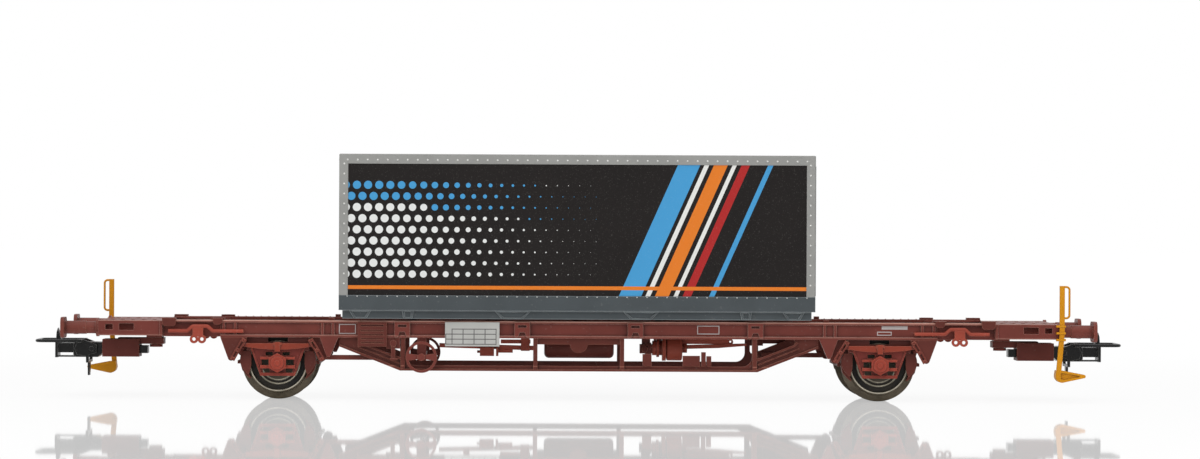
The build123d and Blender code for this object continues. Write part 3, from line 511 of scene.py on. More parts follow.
@dataclass(frozen=True)
class Lipped(Moulded):
    """Moulded plastic with painted highlight lines along its long lips.

    Attributes:
        lips: Height, half width and share of the painted highlight of each lip, in millimetres.
        out_mm: Distance from the middle beyond which the lip highlights are painted.
        soft: Where a lip's highlight begins and is full, over its half width.
    """

    lips: tuple[Triple, ...] = ()
    out_mm: float = 0.0
    soft: ClassVar[Pair] = (1.4, 0.6)

    def base(self, s: Shader) -> Any:
        """Give the colour under painted corner shade, worn and highlit edges, and dust.

        Args:
            s: The material in making.

        Returns:
            A colour socket.
        """
        _, y, z = s.axes()
        outside = abs(y) > self.out_mm
        tone: Any = linear(self.rgb)
        for height, half, share in self.lips:
            begin, full = (half * part for part in self.soft)
            # Painted highlight: a pale line, in the edge colour, along each lip.
            lip = abs(z - height).ramp(begin, full) * outside
            tone = s.mix(lip * share, tone, linear(self.rub_and_highlight))
        return tone


@dataclass(frozen=True)
class SignedSill(Lipped):
    """Sill paint with blank printed signs, which the far side has turned half round.

    Attributes:
        frames: Start, end, foot and top of each framed sign on the near side, in millimetres.
        plates: The same of each plain pale sign.
        line_mm: Width of a frame's line.
        face_mm: Distance from the middle beyond which signs are printed.
        white: Screen colour of the print.
        ink: Share of the print's colour.
    """

    frames: tuple[Sign, ...] = ()
    plates: tuple[Sign, ...] = ()
    line_mm: float = 0.16
    face_mm: float = 11.9
    white: Screen = (206, 204, 202)
    ink: float = 0.85

    def base(self, s: Shader) -> Any:
        """Give the colour under painted corner shade, worn and highlit edges, and dust.

        Args:
            s: The material in making.

        Returns:
            A colour socket.
        """
        tone = super().base(s)
        x, y, z = s.axes()
        near = x * (1.0 - (y > 0.0) * 2.0)
        face = abs(y) > self.face_mm
        for x0, x1, z0, z1 in self.frames + self.plates:
            mark = near.between(x0, x1) * z.between(z0, z1)
            if (x0, x1, z0, z1) in self.frames:
                t = self.line_mm
                mark = mark - near.between(x0 + t, x1 - t) * z.between(z0 + t, z1 - t)
            tone = s.mix(mark * face * self.ink, tone, linear(self.white))
        return tone


@dataclass(frozen=True)
class RuledBoard(Moulded):
    """Blank board with an empty ruled table.

    Attributes:
        first_mm: Distance of the board's inner edge from the wagon's middle.
        low_mm: Height of the lowest line.
        column_mm: Width of a column.
        row_mm: Height of a row.
        rows: Number of rows.
        columns: Number of columns.
        head: Width of the column of headings over that of the others.
        line_mm: Half width of a line.
        back_mm: Distance from the middle below which the board's back lies.
        past: Reach of the lines past the table, in columns and rows.
        ink: Share of the lines' colour.
        ink_rgb: Screen colour of the lines.
        back_rgb: Screen colour of the board's back.
    """

    first_mm: float = 15.65
    low_mm: float = 10.72
    column_mm: float = 2.08
    row_mm: float = 0.95
    rows: int = 3
    columns: int = 4
    head: float = 0.57
    line_mm: float = 0.085
    back_mm: float = 12.63
    past: Pair = (0.04, 0.1)
    ink: float = 0.85
    ink_rgb: Screen = (58, 55, 56)
    back_rgb: Screen = (94, 42, 34)

    def base(self, s: Shader) -> Any:
        """Give the colour under painted corner shade, worn and highlit edges, and dust.

        Args:
            s: The material in making.

        Returns:
            A colour socket.
        """
        x, y, z = s.axes()
        u = (abs(x) - self.first_mm) / self.column_mm
        v = (z - self.low_mm) / self.row_mm
        upright = abs(u - u.nearest()) < self.line_mm / self.column_mm
        level = abs(v - v.nearest()) < self.line_mm / self.row_mm
        du, dv = self.past
        inside = u.between(-du, self.columns + du) * v.between(-dv, self.rows + dv)
        end = abs(u - (self.columns + self.head)) < self.line_mm / self.column_mm
        heads = u.between(self.columns, self.columns + self.head + du) * v.between(-dv, self.rows - 1 + dv)
        lines = upright.high(level) * inside + end.high(level) * heads
        front = s.mix(lines * self.ink, linear(self.rgb), linear(self.ink_rgb))
        return s.mix(abs(y) < self.back_mm, front, linear(self.back_rgb))


@dataclass(frozen=True)
class TurnedMetal:
    """Dark turned metal with pale and dark rings about an axle: painted highlights on its edges and painted
    shade in its recesses.

    Attributes:
        name: Name of the finish.
        axle_x_mm: Place of the axle along the wagon.
        axle_z_mm: Height of the axle.
        tyre: Screen colour of the tread and the flange.
        disc: Screen colour of the disc.
        rings: Inner radius, outer radius and screen colour of each ring; the pale rings are painted
            highlights on edges, the dark ones painted shade in recesses.
        tread_mm: Radii between which the disc's colour turns to the tyre's.
        soft_mm: Half width of the change at a ring's edge.
        grain_mm: Size of the fine grain.
        stain_mm: Size of the stains.
        stain: Share of the stains' colour.
        edge_mm: Width of the rounding along edges.
        rub_and_highlight: Screen colour along edges, of wear and painted highlight.
        groove: Phase of the lathe's grooves, in radians per millimetre.
        groove_mm: Depth of the grooves.
    """

    name: str
    axle_x_mm: float
    axle_z_mm: float
    tyre: Screen = (96, 87, 72)
    disc: Screen = (74, 68, 57)
    rings: tuple[Band, ...] = (
        (5.2, 5.46, (190, 183, 166)), (4.24, 5.2, (22, 20, 18)), (3.9, 4.2, (176, 170, 152)),
        (3.46, 3.9, (34, 31, 28)), (3.2, 3.46, (170, 164, 146)), (1.62, 1.92, (120, 112, 94)))
    tread_mm: Pair = (5.4, 5.6)
    soft_mm: float = 0.05
    grain_mm: float = 0.12
    stain_mm: float = 2.4
    stain: float = 0.45
    edge_mm: float = 0.1
    rub_and_highlight: Screen = (176, 168, 148)
    groove: float = 62.0
    groove_mm: float = 0.005

    def material(self) -> Material:
        """Build the material.

        Returns:
            The new material.
        """
        s = Shader(self.name)
        x, _, z = s.axes()
        dx, dz = x - self.axle_x_mm, z - self.axle_z_mm
        radius = (dx * dx + dz * dz).root()
        fine = s.noise(self.grain_mm, 2.0)
        stain = s.noise(self.stain_mm, 3.0).ramp(0.35, 0.7)
        tone: Any = s.mix(radius.ramp(*self.tread_mm), linear(self.disc), linear(self.tyre))
        soft = self.soft_mm
        # Painted highlights on the edges and painted shade in the recesses, as rings.
        for low, high, rgb in self.rings:
            ring = radius.ramp(low - soft, low + soft) * radius.ramp(high + soft, high - soft)
            tone = s.mix(ring, tone, linear(rgb))
        tone = s.mix(stain * self.stain, tone, linear(self.tyre, 0.35))
        lathe = (radius * self.groove).wave() * 0.5 + 0.5
        edge, rounded = s.edge(self.edge_mm)
        # Paler edges: partly wear, partly painted highlight.
        tone = s.mix(edge * 0.35, tone, linear(self.rub_and_highlight))
        s.feed(Base_Color=tone, Metallic=0.2, Specular_IOR_Level=0.25,
               Roughness=(fine - 0.5) * 0.16 + stain * 0.12 - edge * 0.08 + 0.4,
               Normal=s.bump(lathe * 0.6 + fine * 0.4, self.groove_mm, rounded))
        return s.material


@dataclass(frozen=True)
class PrintedPanel:
    """Dark printed side panel with a plain design of slanted bars and dots.

    Attributes:
        name: Name of the finish.
        ground: Screen colour of the ground.
        middle_mm: Height of the panel's middle.
        tilt_deg: Lean of the bars.
        pitch_mm: Step between dots.
        white: Screen colour of the pale dots.
        sky: Screen colour of the blue dots.
        amber: Screen colour of the line at the foot.
        bars: Start, end and screen colour of each bar.
        dots_end_mm: End of the dots along the wagon.
        dots_half_mm: Reach of the dots above and below the middle.
        grow_mm: Distances left of the wagon's middle over which the dots grow.
        dot_mm: Smallest radius of a dot and its growth.
        band_mm: Height of the blue dots above the middle, and half their height.
        band_fall: Fall of the blue dots along the wagon.
        foot_mm: Depth of the line at the foot below the middle, and its half width.
        cloud_mm: Size of the slow change of the ground.
        grain_mm: Size of the fine grain.
        grain_depth_mm: Depth of the grain.
        dust_rgb: Screen colour of the dust.
    """

    name: str
    ground: Screen = (27, 23, 22)
    middle_mm: float = 32.35
    tilt_deg: float = 24.0
    pitch_mm: float = 2.1
    white: Screen = (222, 224, 222)
    sky: Screen = (70, 152, 204)
    amber: Screen = (222, 122, 40)
    bars: tuple[Band, ...] = (
        (13.0, 17.2, sky), (18.0, 18.9, (226, 226, 222)), (19.8, 22.4, amber),
        (23.3, 24.1, (226, 226, 222)), (25.0, 26.6, (170, 40, 40)), (30.0, 31.0, sky))
    dots_end_mm: float = 4.0
    dots_half_mm: float = 9.6
    grow_mm: Pair = (-2.0, 40.0)
    dot_mm: Pair = (0.05, 0.72)
    band_mm: Pair = (4.2, 3.35)
    band_fall: float = 0.12
    foot_mm: Pair = (10.9, 0.35)
    cloud_mm: float = 9.0
    grain_mm: float = 0.2
    grain_depth_mm: float = 0.003
    dust_rgb: Screen = (200, 196, 190)

    def material(self) -> Material:
        """Build the material.

        Returns:
            The new material.
        """
        s = Shader(self.name)
        x, _, z = s.axes()
        up = z - self.middle_mm
        along = x - up * math.tan(math.radians(self.tilt_deg))
        cloud = s.noise(self.cloud_mm, 3.0).ramp(0.3, 0.7)
        fine = s.noise(self.grain_mm, 2.0)
        tone: Any = s.mix(cloud * 0.5, linear(self.ground), linear(self.ground, 0.6))
        for low, high, rgb in self.bars:
            tone = s.mix(along.between(low, high), tone, linear(rgb))
        row = (up / self.pitch_mm).nearest()
        col = (x / self.pitch_mm - row * 0.5).nearest()
        dot_x, dot_z = (col + row * 0.5) * self.pitch_mm, row * self.pitch_mm
        dx, dz = x - dot_x, up - dot_z
        least, growth = self.dot_mm
        size = (dot_x * -1.0).ramp(*self.grow_mm) * growth + least
        field = (x < self.dots_end_mm) * (abs(up) < self.dots_half_mm)
        dots = ((dx * dx + dz * dz).root() < size) * field
        tone = s.mix(dots, tone, linear(self.white))
        height, half = self.band_mm
        band = abs(dot_z - height + dot_x * self.band_fall) < half
        tone = s.mix(dots * band, tone, linear(self.sky))
        depth, half = self.foot_mm
        tone = s.mix(abs(up + depth) < half, tone, linear(self.amber))
        tone = s.mix(fine.ramp(0.62, 0.72) * 0.06, tone, linear(self.dust_rgb))
        s.feed(Base_Color=tone, Roughness=(fine - 0.5) * 0.1 + cloud * 0.06 + 0.32,
               Coat_Weight=0.03, Specular_IOR_Level=0.15, Normal=s.bump(fine, self.grain_depth_mm))
        return s.material


class Paint(Enum):
    """Finishes of the moulded pieces."""

    FRAME = Moulded("frame_brown", (110, 51, 43), 0.46)
    # The sill's lips get painted highlight lines.
    SILL = SignedSill("sill_brown", (110, 51, 43), 0.46, rub_and_highlight=(206, 158, 142),
                      lips=((15.0, 0.15, 0.8), (12.22, 0.1, 0.25)), out_mm=12.2,
                      frames=((-45.4, -42.2, 12.55, 14.4), (22.4, 26.6, 12.75, 14.4),
                              (56.45, 59.2, 12.68, 13.42)),
                      plates=((57.3, 62.2, 13.82, 14.5),))
    FITTING = Moulded("fitting_brown", (94, 42, 34), 0.5)
    # Painted light: a lighter copy of the fitting brown, so that the brake cylinder looks lit.
    LIT_FITTING = Moulded("fitting_brown_lit", (156, 74, 58), 0.44)
    # The truss's lip gets a painted highlight line.
    TRUSS = Lipped("truss_brown", (96, 44, 35), 0.48, lips=((6.56, 0.1, 0.5),), out_mm=12.1)
    BRIGHT = Moulded("bright_red_brown", (154, 67, 51), 0.42, rub_and_highlight=(216, 132, 110))
    GUARD = TwoTone("guard_red_brown", (116, 46, 38), 0.42, rub_and_highlight=(206, 112, 92), other=(156, 63, 47))
    YELLOW = Moulded("step_yellow", (207, 138, 8), 0.4, wear_and_highlight=0.22, rub_and_highlight=(228, 172, 52), corner_shade=0.5,
                     cloud=0.16, dust=0.02)
    BLACK = Moulded("coupling_black", (9, 9, 9), 0.24, wear_and_highlight=0.7, rub_and_highlight=(126, 126, 124), edge_mm=0.26,
                    dust=0.03, shine=0.24)
    LIGHT = Moulded("box_light_grey", (148, 148, 145), 0.42, wear_and_highlight=0.25, rub_and_highlight=(186, 186, 182), corner_shade=0.4,
                    cloud=0.12, dust=0.02)
    DARK = Moulded("lock_bar_grey", (64, 72, 75), 0.45, rub_and_highlight=(118, 127, 130), cloud=0.18)
    # The base band's lips get painted highlight lines.
    RAIL = Lipped("box_dark_grey", (71, 77, 80), 0.45, wear_and_highlight=0.95, rub_and_highlight=(142, 149, 151), edge_mm=0.3,
                  corner_shade=0.5, cloud=0.18, lips=((17.0, 0.12, 0.75), (15.52, 0.1, 0.5)))
    BOARD = RuledBoard("board_grey", (182, 182, 178), 0.48, wear_and_highlight=0.2, rub_and_highlight=(212, 212, 208), corner_shade=0.2,
                       cloud=0.1, dust=0.02)
    RIVET = Moulded("rivet_white", (226, 226, 222), 0.45, wear_and_highlight=0.0, edge_mm=0.04, corner_shade=0.0,
                    cloud=0.08, dust=0.0)
    SHANK = Moulded("buffer_shank", (115, 56, 46), 0.4)
    WALL = Moulded("panel_dark", (44, 40, 41), 0.36, wear_and_highlight=0.2, rub_and_highlight=(92, 88, 88), dust=0.02, coat=0.05)


class Finishes:
    """Makes each material once."""

    def __init__(self) -> None:
        """Start with no material made."""
        self._made: dict[str, Material] = {}

    def get(self, finish: Any) -> Material:
        """Give the material of a finish.

        Args:
            finish: A finish, or a member of Paint.

        Returns:
            Its material.
        """
        finish = finish.value if isinstance(finish, Enum) else finish
        if finish.name not in self._made:
            self._made[finish.name] = finish.material()
        return self._made[finish.name]

    def dress(self, finish: Any, *nodes: str) -> None:
        """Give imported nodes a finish.

        Args:
            finish: A finish, or a member of Paint.
            nodes: Names of the nodes.
        """
        material = self.get(finish)
        for name in nodes:
            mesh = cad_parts[name].data
            mesh.materials.clear()
            mesh.materials.append(material)
            LOG.info("dressed %s with %s", name, material.name)


class Facing(Enum):
    """Turn, in degrees, of a head that stands up, so that it points one way."""

    UP = (0.0, 0.0, 0.0)
    NEAR = (90.0, 0.0, 0.0)
    FAR = (-90.0, 0.0, 0.0)
    LEFT = (0.0, -90.0, 0.0)
    RIGHT = (0.0, 90.0, 0.0)


@dataclass
class RivetRow:
    """A straight row of rivet heads.

    Attributes:
        start: First head, in millimetres.
        step: Step from head to head, in millimetres.
        count: Number of heads.
        facing: Way that the heads point.
        radius_mm: Radius of a head.
    """

    start: Triple
    step: Triple
    count: int
    facing: Facing
    radius_mm: float


class RowMaker:
    """Runs one Geometry Nodes tree and joins what it makes to a plain piece.

    Attributes:
        inputs: Name and kind of each input of the tree.
    """

    inputs: ClassVar[Inputs] = ()

    def start_tree(self, name: str) -> tuple[Graph, Any]:
        """Start the tree with its named inputs.

        Args:
            name: Name of the tree.

        Returns:
            The tree's graph and its input sockets.
        """
        tree = bpy.data.node_groups.new(name, "GeometryNodeTree")
        for label, kind in self.inputs:
            tree.interface.new_socket(name=label, in_out="INPUT", socket_type=f"NodeSocket{kind}")
        tree.interface.new_socket(name="Geometry", in_out="OUTPUT", socket_type="NodeSocketGeometry")
        g = Graph(tree)
        return g, g.add("NodeGroupInput").outputs

    def spread(self, g: Graph, inp: Any, shape: Socket, turn: Socket) -> None:
        """Repeat a shape along a line and end the tree.

        Args:
            g: The tree's graph.
            inp: Its input sockets.
            shape: The shape to repeat.
            turn: Turn of each copy, in radians about the three axes.
        """
        line = g.add("GeometryNodeMeshLine", {"mode": "OFFSET"},
                     {"Count": inp["Count"], "Start Location": inp["Start"], "Offset": inp["Step"]})
        turned = g.add("FunctionNodeEulerToRotation", None, {0: turn})
        copies = g.add("GeometryNodeInstanceOnPoints", None,
                       {"Points": line.outputs[0], "Instance": shape, "Rotation": turned.outputs[0]})
        real = g.add("GeometryNodeRealizeInstances", None, {0: copies.outputs[0]})
        paint = g.add("GeometryNodeSetMaterial", None,
                      {"Geometry": real.outputs[0], "Material": inp["Material"]})
        g.add("NodeGroupOutput", None, {0: paint.outputs[0]})

    def run(self, tree: bpy.types.NodeTree, values: dict[str, Any]) -> Mesh:
        """Run the tree once.

        Args:
            tree: The tree.
            values: Its inputs by name.

        Returns:
            The result as a plain mesh.
        """
        holder = bpy.data.objects.new("row_holder", bpy.data.meshes.new("row_holder"))
        bpy.context.collection.objects.link(holder)
        mod = holder.modifiers.new("row", "NODES")
        mod.node_group = tree
        names = {item.name: item.identifier for item in tree.interface.items_tree if item.in_out == "INPUT"}
        for name, value in values.items():
            mod[names[name]] = value
        graph = bpy.context.evaluated_depsgraph_get()
        graph.update()
        mesh = bpy.data.meshes.new_from_object(holder.evaluated_get(graph))
        holder.modifiers.clear()
        bpy.data.objects.remove(holder)
        return mesh

    def join(self, name: str, meshes: Iterable[Mesh], material: Material) -> Piece:
        """Join meshes to one piece.

        Args:
            name: Name of the piece.
            meshes: The meshes, which are used up.
            material: Its finish.

        Returns:
            The piece, at the origin.
        """
        points: list[Vector] = []
        faces: list[list[int]] = []
        for mesh in meshes:
            base = len(points)
            points += [v.co.copy() for v in mesh.vertices]
            faces += [[base + i for i in p.vertices] for p in mesh.polygons]
            bpy.data.meshes.remove(mesh)
        whole = bpy.data.meshes.new(name)
        whole.from_pydata(points, [], faces)
        whole.update()
        return add_piece(name, whole, material)


@dataclass
class RivetMaker(RowMaker):
    """Makes rows of rivet heads with one Geometry Nodes tree.

    Attributes:
        height_share: Height of a head over its radius.
        crown_share: Radius of a head's top over its radius.
        sides: Number of sides of a head.
    """

    height_share: float = 0.7
    crown_share: float = 0.55
    sides: int = 10
    inputs: ClassVar[Inputs] = (
        ("Start", "Vector"), ("Step", "Vector"), ("Count", "Int"), ("Radius", "Float"), ("Height", "Float"),
        ("Crown", "Float"), ("Sides", "Int"), ("Turn", "Vector"), ("Material", "Material"))

    def tree(self) -> bpy.types.NodeTree:
        """Build the tree of one row.

        Returns:
            The tree.
        """
        g, inp = self.start_tree("rivet_row")
        head = g.add("GeometryNodeMeshCone", None,
                     {"Vertices": inp["Sides"], "Radius Top": inp["Crown"], "Radius Bottom": inp["Radius"],
                      "Depth": inp["Height"]})
        self.spread(g, inp, head.outputs[0], inp["Turn"])
        return g.tree

    def build(self, name: str, rows: Iterable[RivetRow], material: Material) -> Piece:
        """Make several rows as one piece.

        Args:
            name: Name of the piece.
            rows: The rows.
            material: Finish of the heads.

        Returns:
            The piece, at the origin.
        """
        tree, meshes = self.tree(), []
        for row in rows:
            radius = row.radius_mm * MM
            meshes.append(self.run(tree, {
                "Start": [v * MM for v in row.start], "Step": [v * MM for v in row.step],
                "Count": row.count, "Radius": radius, "Height": radius * self.height_share,
                "Crown": radius * self.crown_share, "Sides": self.sides,
                "Turn": [math.radians(v) for v in row.facing.value], "Material": material}))
        return self.join(name, meshes, material)


@dataclass
class ShoeMaker(RowMaker):
    """Makes the faces of the brake shoes with one Geometry Nodes tree.

    Attributes:
        outer_mm: Reach of a face from the axle at its widest place.
        widest_mm: Height of that place above the axle.
        bend: Fall of the outer edge, per square millimetre of height.
        hollow: Rise of the inner edge below the axle, per square millimetre.
        cuts: Inner edge from the axle, lowest and highest point from the axle, and start and end across.
        grid: Number of points up and along a face.
        seal_mm: Distance within which the points of its two sides are merged.
    """

    outer_mm: float = 7.2
    widest_mm: float = 0.6
    bend: float = 0.19
    hollow: float = 0.1
    cuts: tuple[tuple[float, ...], ...] = (
        (5.05, -2.2, 2.2, 10.05, 10.75), (6.05, -1.2, 2.0, 9.8, 10.1))
    grid: tuple[int, int] = (11, 3)
    seal_mm: float = 0.001
    inputs: ClassVar[Inputs] = (
        ("Start", "Vector"), ("Step", "Vector"), ("Count", "Int"), ("Outer", "Float"), ("Widest", "Float"),
        ("Bend", "Float"), ("Hollow", "Float"), ("Inner", "Float"), ("Low", "Float"), ("Top", "Float"),
        ("Depth", "Float"), ("Turn", "Vector"), ("Material", "Material"))

    def tree(self) -> bpy.types.NodeTree:
        """Build the tree of one face on each side of the wagon.

        Returns:
            The tree.
        """
        g, inp = self.start_tree("shoe_face")
        names = ("Outer", "Widest", "Bend", "Hollow", "Inner", "Low", "Top", "Depth")
        outer, widest, bend, hollow, inner, low, top, depth = (Value(g, inp[name]) for name in names)
        tall, wide = self.grid
        grid = g.add("GeometryNodeMeshGrid", None,
                     {"Size X": 1.0, "Size Y": 1.0, "Vertices X": tall, "Vertices Y": wide})
        where = g.add("GeometryNodeInputPosition").outputs[0]
        spot = g.add("ShaderNodeSeparateXYZ", None, {0: where}).outputs
        up = low + (top - low) * (Value(g, spot[0]) + 0.5)
        rise = up - widest
        edge_out = outer - rise * rise * bend
        edge_in = inner + up * up * hollow * (up < 0.0)
        along = edge_in + (edge_out - edge_in) * (Value(g, spot[1]) + 0.5)
        place = g.add("ShaderNodeCombineXYZ", None, {0: along, 1: depth * -0.5, 2: up})
        sheet = g.add("GeometryNodeSetPosition", None,
                      {"Geometry": grid.outputs[0], "Position": place.outputs[0]})
        push = g.add("ShaderNodeCombineXYZ", None, {1: depth})
        front = g.add("GeometryNodeExtrudeMesh", None,
                      {"Mesh": sheet.outputs[0], "Offset": push.outputs[0], "Offset Scale": 1.0,
                       "Individual": False})
        back = g.add("GeometryNodeFlipFaces", None, {"Mesh": sheet.outputs[0]})
        both = g.add("GeometryNodeJoinGeometry", None, {0: front.outputs[0]})
        g.set(both.inputs[0], back.outputs[0])
        sealed = g.add("GeometryNodeMergeByDistance", None,
                       {"Geometry": both.outputs[0], "Distance": self.seal_mm * MM})
        self.spread(g, inp, sealed.outputs[0], inp["Turn"])
        return g.tree

    def build(self, name: str, axles: Iterable[Pair], material: Material) -> Piece:
        """Make the faces at both sides of each wheel as one piece.

        Args:
            name: Name of the piece.
            axles: Place along the wagon and height of each axle.
            material: Finish of the faces.

        Returns:
            The piece, at the origin.
        """
        tree, meshes = self.tree(), []
        for x, z in axles:
            for turn in (0.0, math.pi):
                for inner, low, top, start, end in self.cuts:
                    y = (start + end) / 2
                    meshes.append(self.run(tree, {
                        "Start": [x * MM, -y * MM, z * MM], "Step": [0.0, 2 * y * MM, 0.0], "Count": 2,
                        "Outer": self.outer_mm * MM, "Widest": self.widest_mm * MM, "Bend": self.bend / MM,
                        "Hollow": self.hollow / MM, "Inner": inner * MM, "Low": low * MM, "Top": top * MM,
                        "Depth": (end - start) * MM, "Turn": [0.0, 0.0, turn], "Material": material}))
        return self.join(name, meshes, material)


@dataclass(frozen=True)
class HungPlate:
    """A plate that hangs beside an axle and narrows to a round end, in millimetres.

    Attributes:
        inner: Near top corner, along from the axle.
        outer: Far top corner, along from the axle.
        top: Height of the top edge above the axle.
        end: Centre of the round end, along and up from the axle.
        radius: Radius of the round end.
        across: Start and end across the wagon.
        steps: Number of straight steps round the end.
    """

    inner: float
    outer: float
    top: float
    end: Pair
    radius: float
    across: Pair
    steps: ClassVar[int] = 10

    def tangent(self, along: float, side: int) -> float:
        """Angle on the round end at which the edge from a top corner touches it.

        Args:
            along: The top corner, along from the axle.
            side: 1 for an edge on the near side of the end, -1 for one on the far side.

        Returns:
            The angle, in radians.
        """
        dx, dz = along - self.end[0], self.top - self.end[1]
        return math.atan2(dz, dx) + side * math.acos(self.radius / math.hypot(dx, dz))

    def outline(self) -> list[Pair]:
        """Work out the outline.

        Returns:
            Points along and up from the axle.
        """
        (along, up), r = self.end, self.radius
        first, last = self.tangent(self.outer, -1), self.tangent(self.inner, 1) - 2 * math.pi
        turns = [first + (last - first) * i / self.steps for i in range(self.steps + 1)]
        arc = [(along + r * math.cos(turn), up + r * math.sin(turn)) for turn in turns]
        return [(self.inner, self.top), (self.outer, self.top), *arc]


@dataclass
class SpringPlates:
    """Faces of the outer spring brackets and hangers behind the inner links.

    Attributes:
        face: Face of a bracket, on the outer side of an axle.
        hanger: Hanger, on the inner side of an axle.
    """

    face: HungPlate = HungPlate(
        inner=5.7, outer=10.8, top=4.8, end=(8.73, 1.02), radius=0.64, across=(12.0, 12.63))
    hanger: HungPlate = HungPlate(
        inner=6.4, outer=8.9, top=4.8, end=(8.35, 1.25), radius=0.95, across=(11.0, 11.35))

    def add(self, mesh: bmesh.types.BMesh, plate: HungPlate, axle: Pair, way: float, side: int) -> None:
        """Add one plate to a mesh.

        Args:
            mesh: Mesh in making.
            plate: The plate.
            axle: Place along the wagon and height of the axle.
            way: Way from the axle along the wagon, 1 or -1.
            side: Side of the wagon, 1 or -1.
        """
        points = [(axle[0] + way * u, axle[1] + v) for u, v in plate.outline()]
        back, front = ([mesh.verts.new((x * MM, side * y * MM, z * MM)) for x, z in points]
                       for y in plate.across)
        mesh.faces.new(back)
        mesh.faces.new(front)
        for i, _ in enumerate(points):
            mesh.faces.new((back[i - 1], back[i], front[i], front[i - 1]))

    def build(self, name: str, axles: Iterable[Pair], material: Material) -> Piece:
        """Make the plates of all springs as one piece.

        Args:
            name: Name of the piece.
            axles: Place along the wagon and height of each axle.
            material: Finish of the plates.

        Returns:
            The piece, at the origin.
        """
        mesh = bmesh.new()
        for axle in axles:
            out = math.copysign(1.0, axle[0])
            for side in (-1, 1):
                self.add(mesh, self.face, axle, out, side)
                self.add(mesh, self.hanger, axle, -out, side)
        bmesh.ops.recalc_face_normals(mesh, faces=mesh.faces)
        data = bpy.data.meshes.new(name)
        mesh.to_mesh(data)
        mesh.free()
        return add_piece(name, data, material)


@dataclass
class Underframe:
    """Sills, end frames, trusses and the fittings on them.

    Attributes:
        deck_mm: Height of the deck.
        rivet_y_mm: Distance of the deck's rivet rows from the middle.
        rivet_x_mm: Ends of a rivet row beside the container.
        pitch_mm: Step between the deck's rivets.
        rivet_mm: Radius of a rivet head.
        headstock_mm: Distance of the headstock's face from the middle.
        bolt_yz_mm: Places of the bolts beside a buffer, across and up.
        bolt_mm: Radius of a bolt head.
    """

    deck_mm: float = 15.1
    rivet_y_mm: float = 12.25
    rivet_x_mm: Pair = (48.4, 66.4)
    pitch_mm: float = 1.5
    rivet_mm: float = 0.14
    headstock_mm: float = 91.0
    bolt_yz_mm: tuple[Pair, ...] = ((8.3, 12.5), (8.3, 14.5), (11.85, 12.5), (11.85, 14.5))
    bolt_mm: float = 0.2

    def dress(self, finishes: Finishes) -> None:
        """Give the frame's nodes their finishes.

        Args:
            finishes: Store of materials.
        """
        finishes.dress(Paint.SILL, "side_sill_near", "side_sill_far", "end_frame_left", "end_frame_right")
        finishes.dress(Paint.FRAME, "cross_frame", "handbrake")
        finishes.dress(Paint.TRUSS, "truss_near", "truss_far")
        finishes.dress(Paint.FITTING, "brake_shoes_left", "brake_shoes_right", "air_tank",
                       "valve_block", "load_valve", "label_panels", "change_levers", "deck_spigots")
        # The brake cylinder takes the lighter, painted-lit copy of the fitting brown.
        finishes.dress(Paint.LIT_FITTING, "brake_cylinder")
        finishes.dress(Paint.BRIGHT, "end_bars_left", "end_bars_right")
        finishes.dress(Paint.BOARD, "load_boards")
        for end, _ in ENDS:
            finishes.dress(Paint.YELLOW, f"shunter_step_{end}")
            finishes.dress(Paint.SHANK, *(f"buffer_{end}_{side}" for side in SIDES))

    def rows(self) -> list[RivetRow]:
        """Lay out the rivets on the deck and the bolts beside the buffers.

        Returns:
            The rows.
        """
        rows: list[RivetRow] = []
        first, last = self.rivet_x_mm
        count = int((last - first) / self.pitch_mm) + 1
        for (_, way), facing in zip(ENDS, (Facing.LEFT, Facing.RIGHT)):
            for side in (-1, 1):
                rows.append(RivetRow((way * first, side * self.rivet_y_mm, self.deck_mm),
                                     (way * self.pitch_mm, 0, 0), count, Facing.UP, self.rivet_mm))
                for y, z in self.bolt_yz_mm:
                    place = (way * self.headstock_mm, side * y, z)
                    rows.append(RivetRow(place, (0, 0, 0), 1, facing, self.bolt_mm))
        return rows

    def build(self, finishes: Finishes) -> None:
        """Make the rivets and bolts.

        Args:
            finishes: Store of materials.
        """
        piece = RivetMaker().build("frame_bolts", self.rows(), finishes.get(Paint.FRAME))
        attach(piece, "wagon")
        LOG.info("built %s", piece.name)


@dataclass
class RunningGear:
    """Wheelsets, axle guards and springs.

    Attributes:
        half_base_mm: Half of the wheelbase.
        axle_z_mm: Height of the axles.
        leaf_mm: Half length of a leaf spring between its links.
    """

    half_base_mm: float = 57.0
    axle_z_mm: float = 7.0
    leaf_mm: float = 5.7

    def dress(self, finishes: Finishes) -> None:
        """Give the running gear its finishes.

        Args:
            finishes: Store of materials.
        """
        for end, way in ENDS:
            x = way * self.half_base_mm
            wheel = TurnedMetal(f"wheel_metal_{end}", x, self.axle_z_mm)
            finishes.dress(wheel, f"wheels_{end}", f"axle_{end}")
            spring = TwoTone(f"spring_red_brown_{end}", (136, 56, 39), 0.42, rub_and_highlight=(206, 124, 102),
                             other=(98, 42, 36), way=Way.ALONG, middle_mm=x, start_mm=self.leaf_mm)
            finishes.dress(spring, f"leaf_springs_{end}")
            finishes.dress(Paint.GUARD, *(f"axle_guard_{end}_{side}" for side in SIDES))

    def build(self, finishes: Finishes) -> None:
        """Make the faces of the brake shoes and the plates at the springs.

        Args:
            finishes: Store of materials.
        """
        axles = [(way * self.half_base_mm, self.axle_z_mm) for _, way in ENDS]
        for maker, name in ((ShoeMaker(), "shoe_faces"), (SpringPlates(), "spring_plates")):
            piece = maker.build(name, axles, finishes.get(Paint.FITTING))
            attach(piece, "wagon")
            LOG.info("built %s", piece.name)


@dataclass
class Couplings:
    """Drawbars, hook heads and loops."""

    def dress(self, finishes: Finishes) -> None:
        """Give the couplings their finishes.

        Args:
            finishes: Store of materials.
        """
        for end, _ in ENDS:
            finishes.dress(Paint.FITTING, f"coupling_pocket_{end}")
            finishes.dress(Paint.BLACK, f"coupling_head_{end}", f"coupling_loop_{end}")

    def build(self, finishes: Finishes) -> None:
        """Nothing is added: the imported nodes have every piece."""


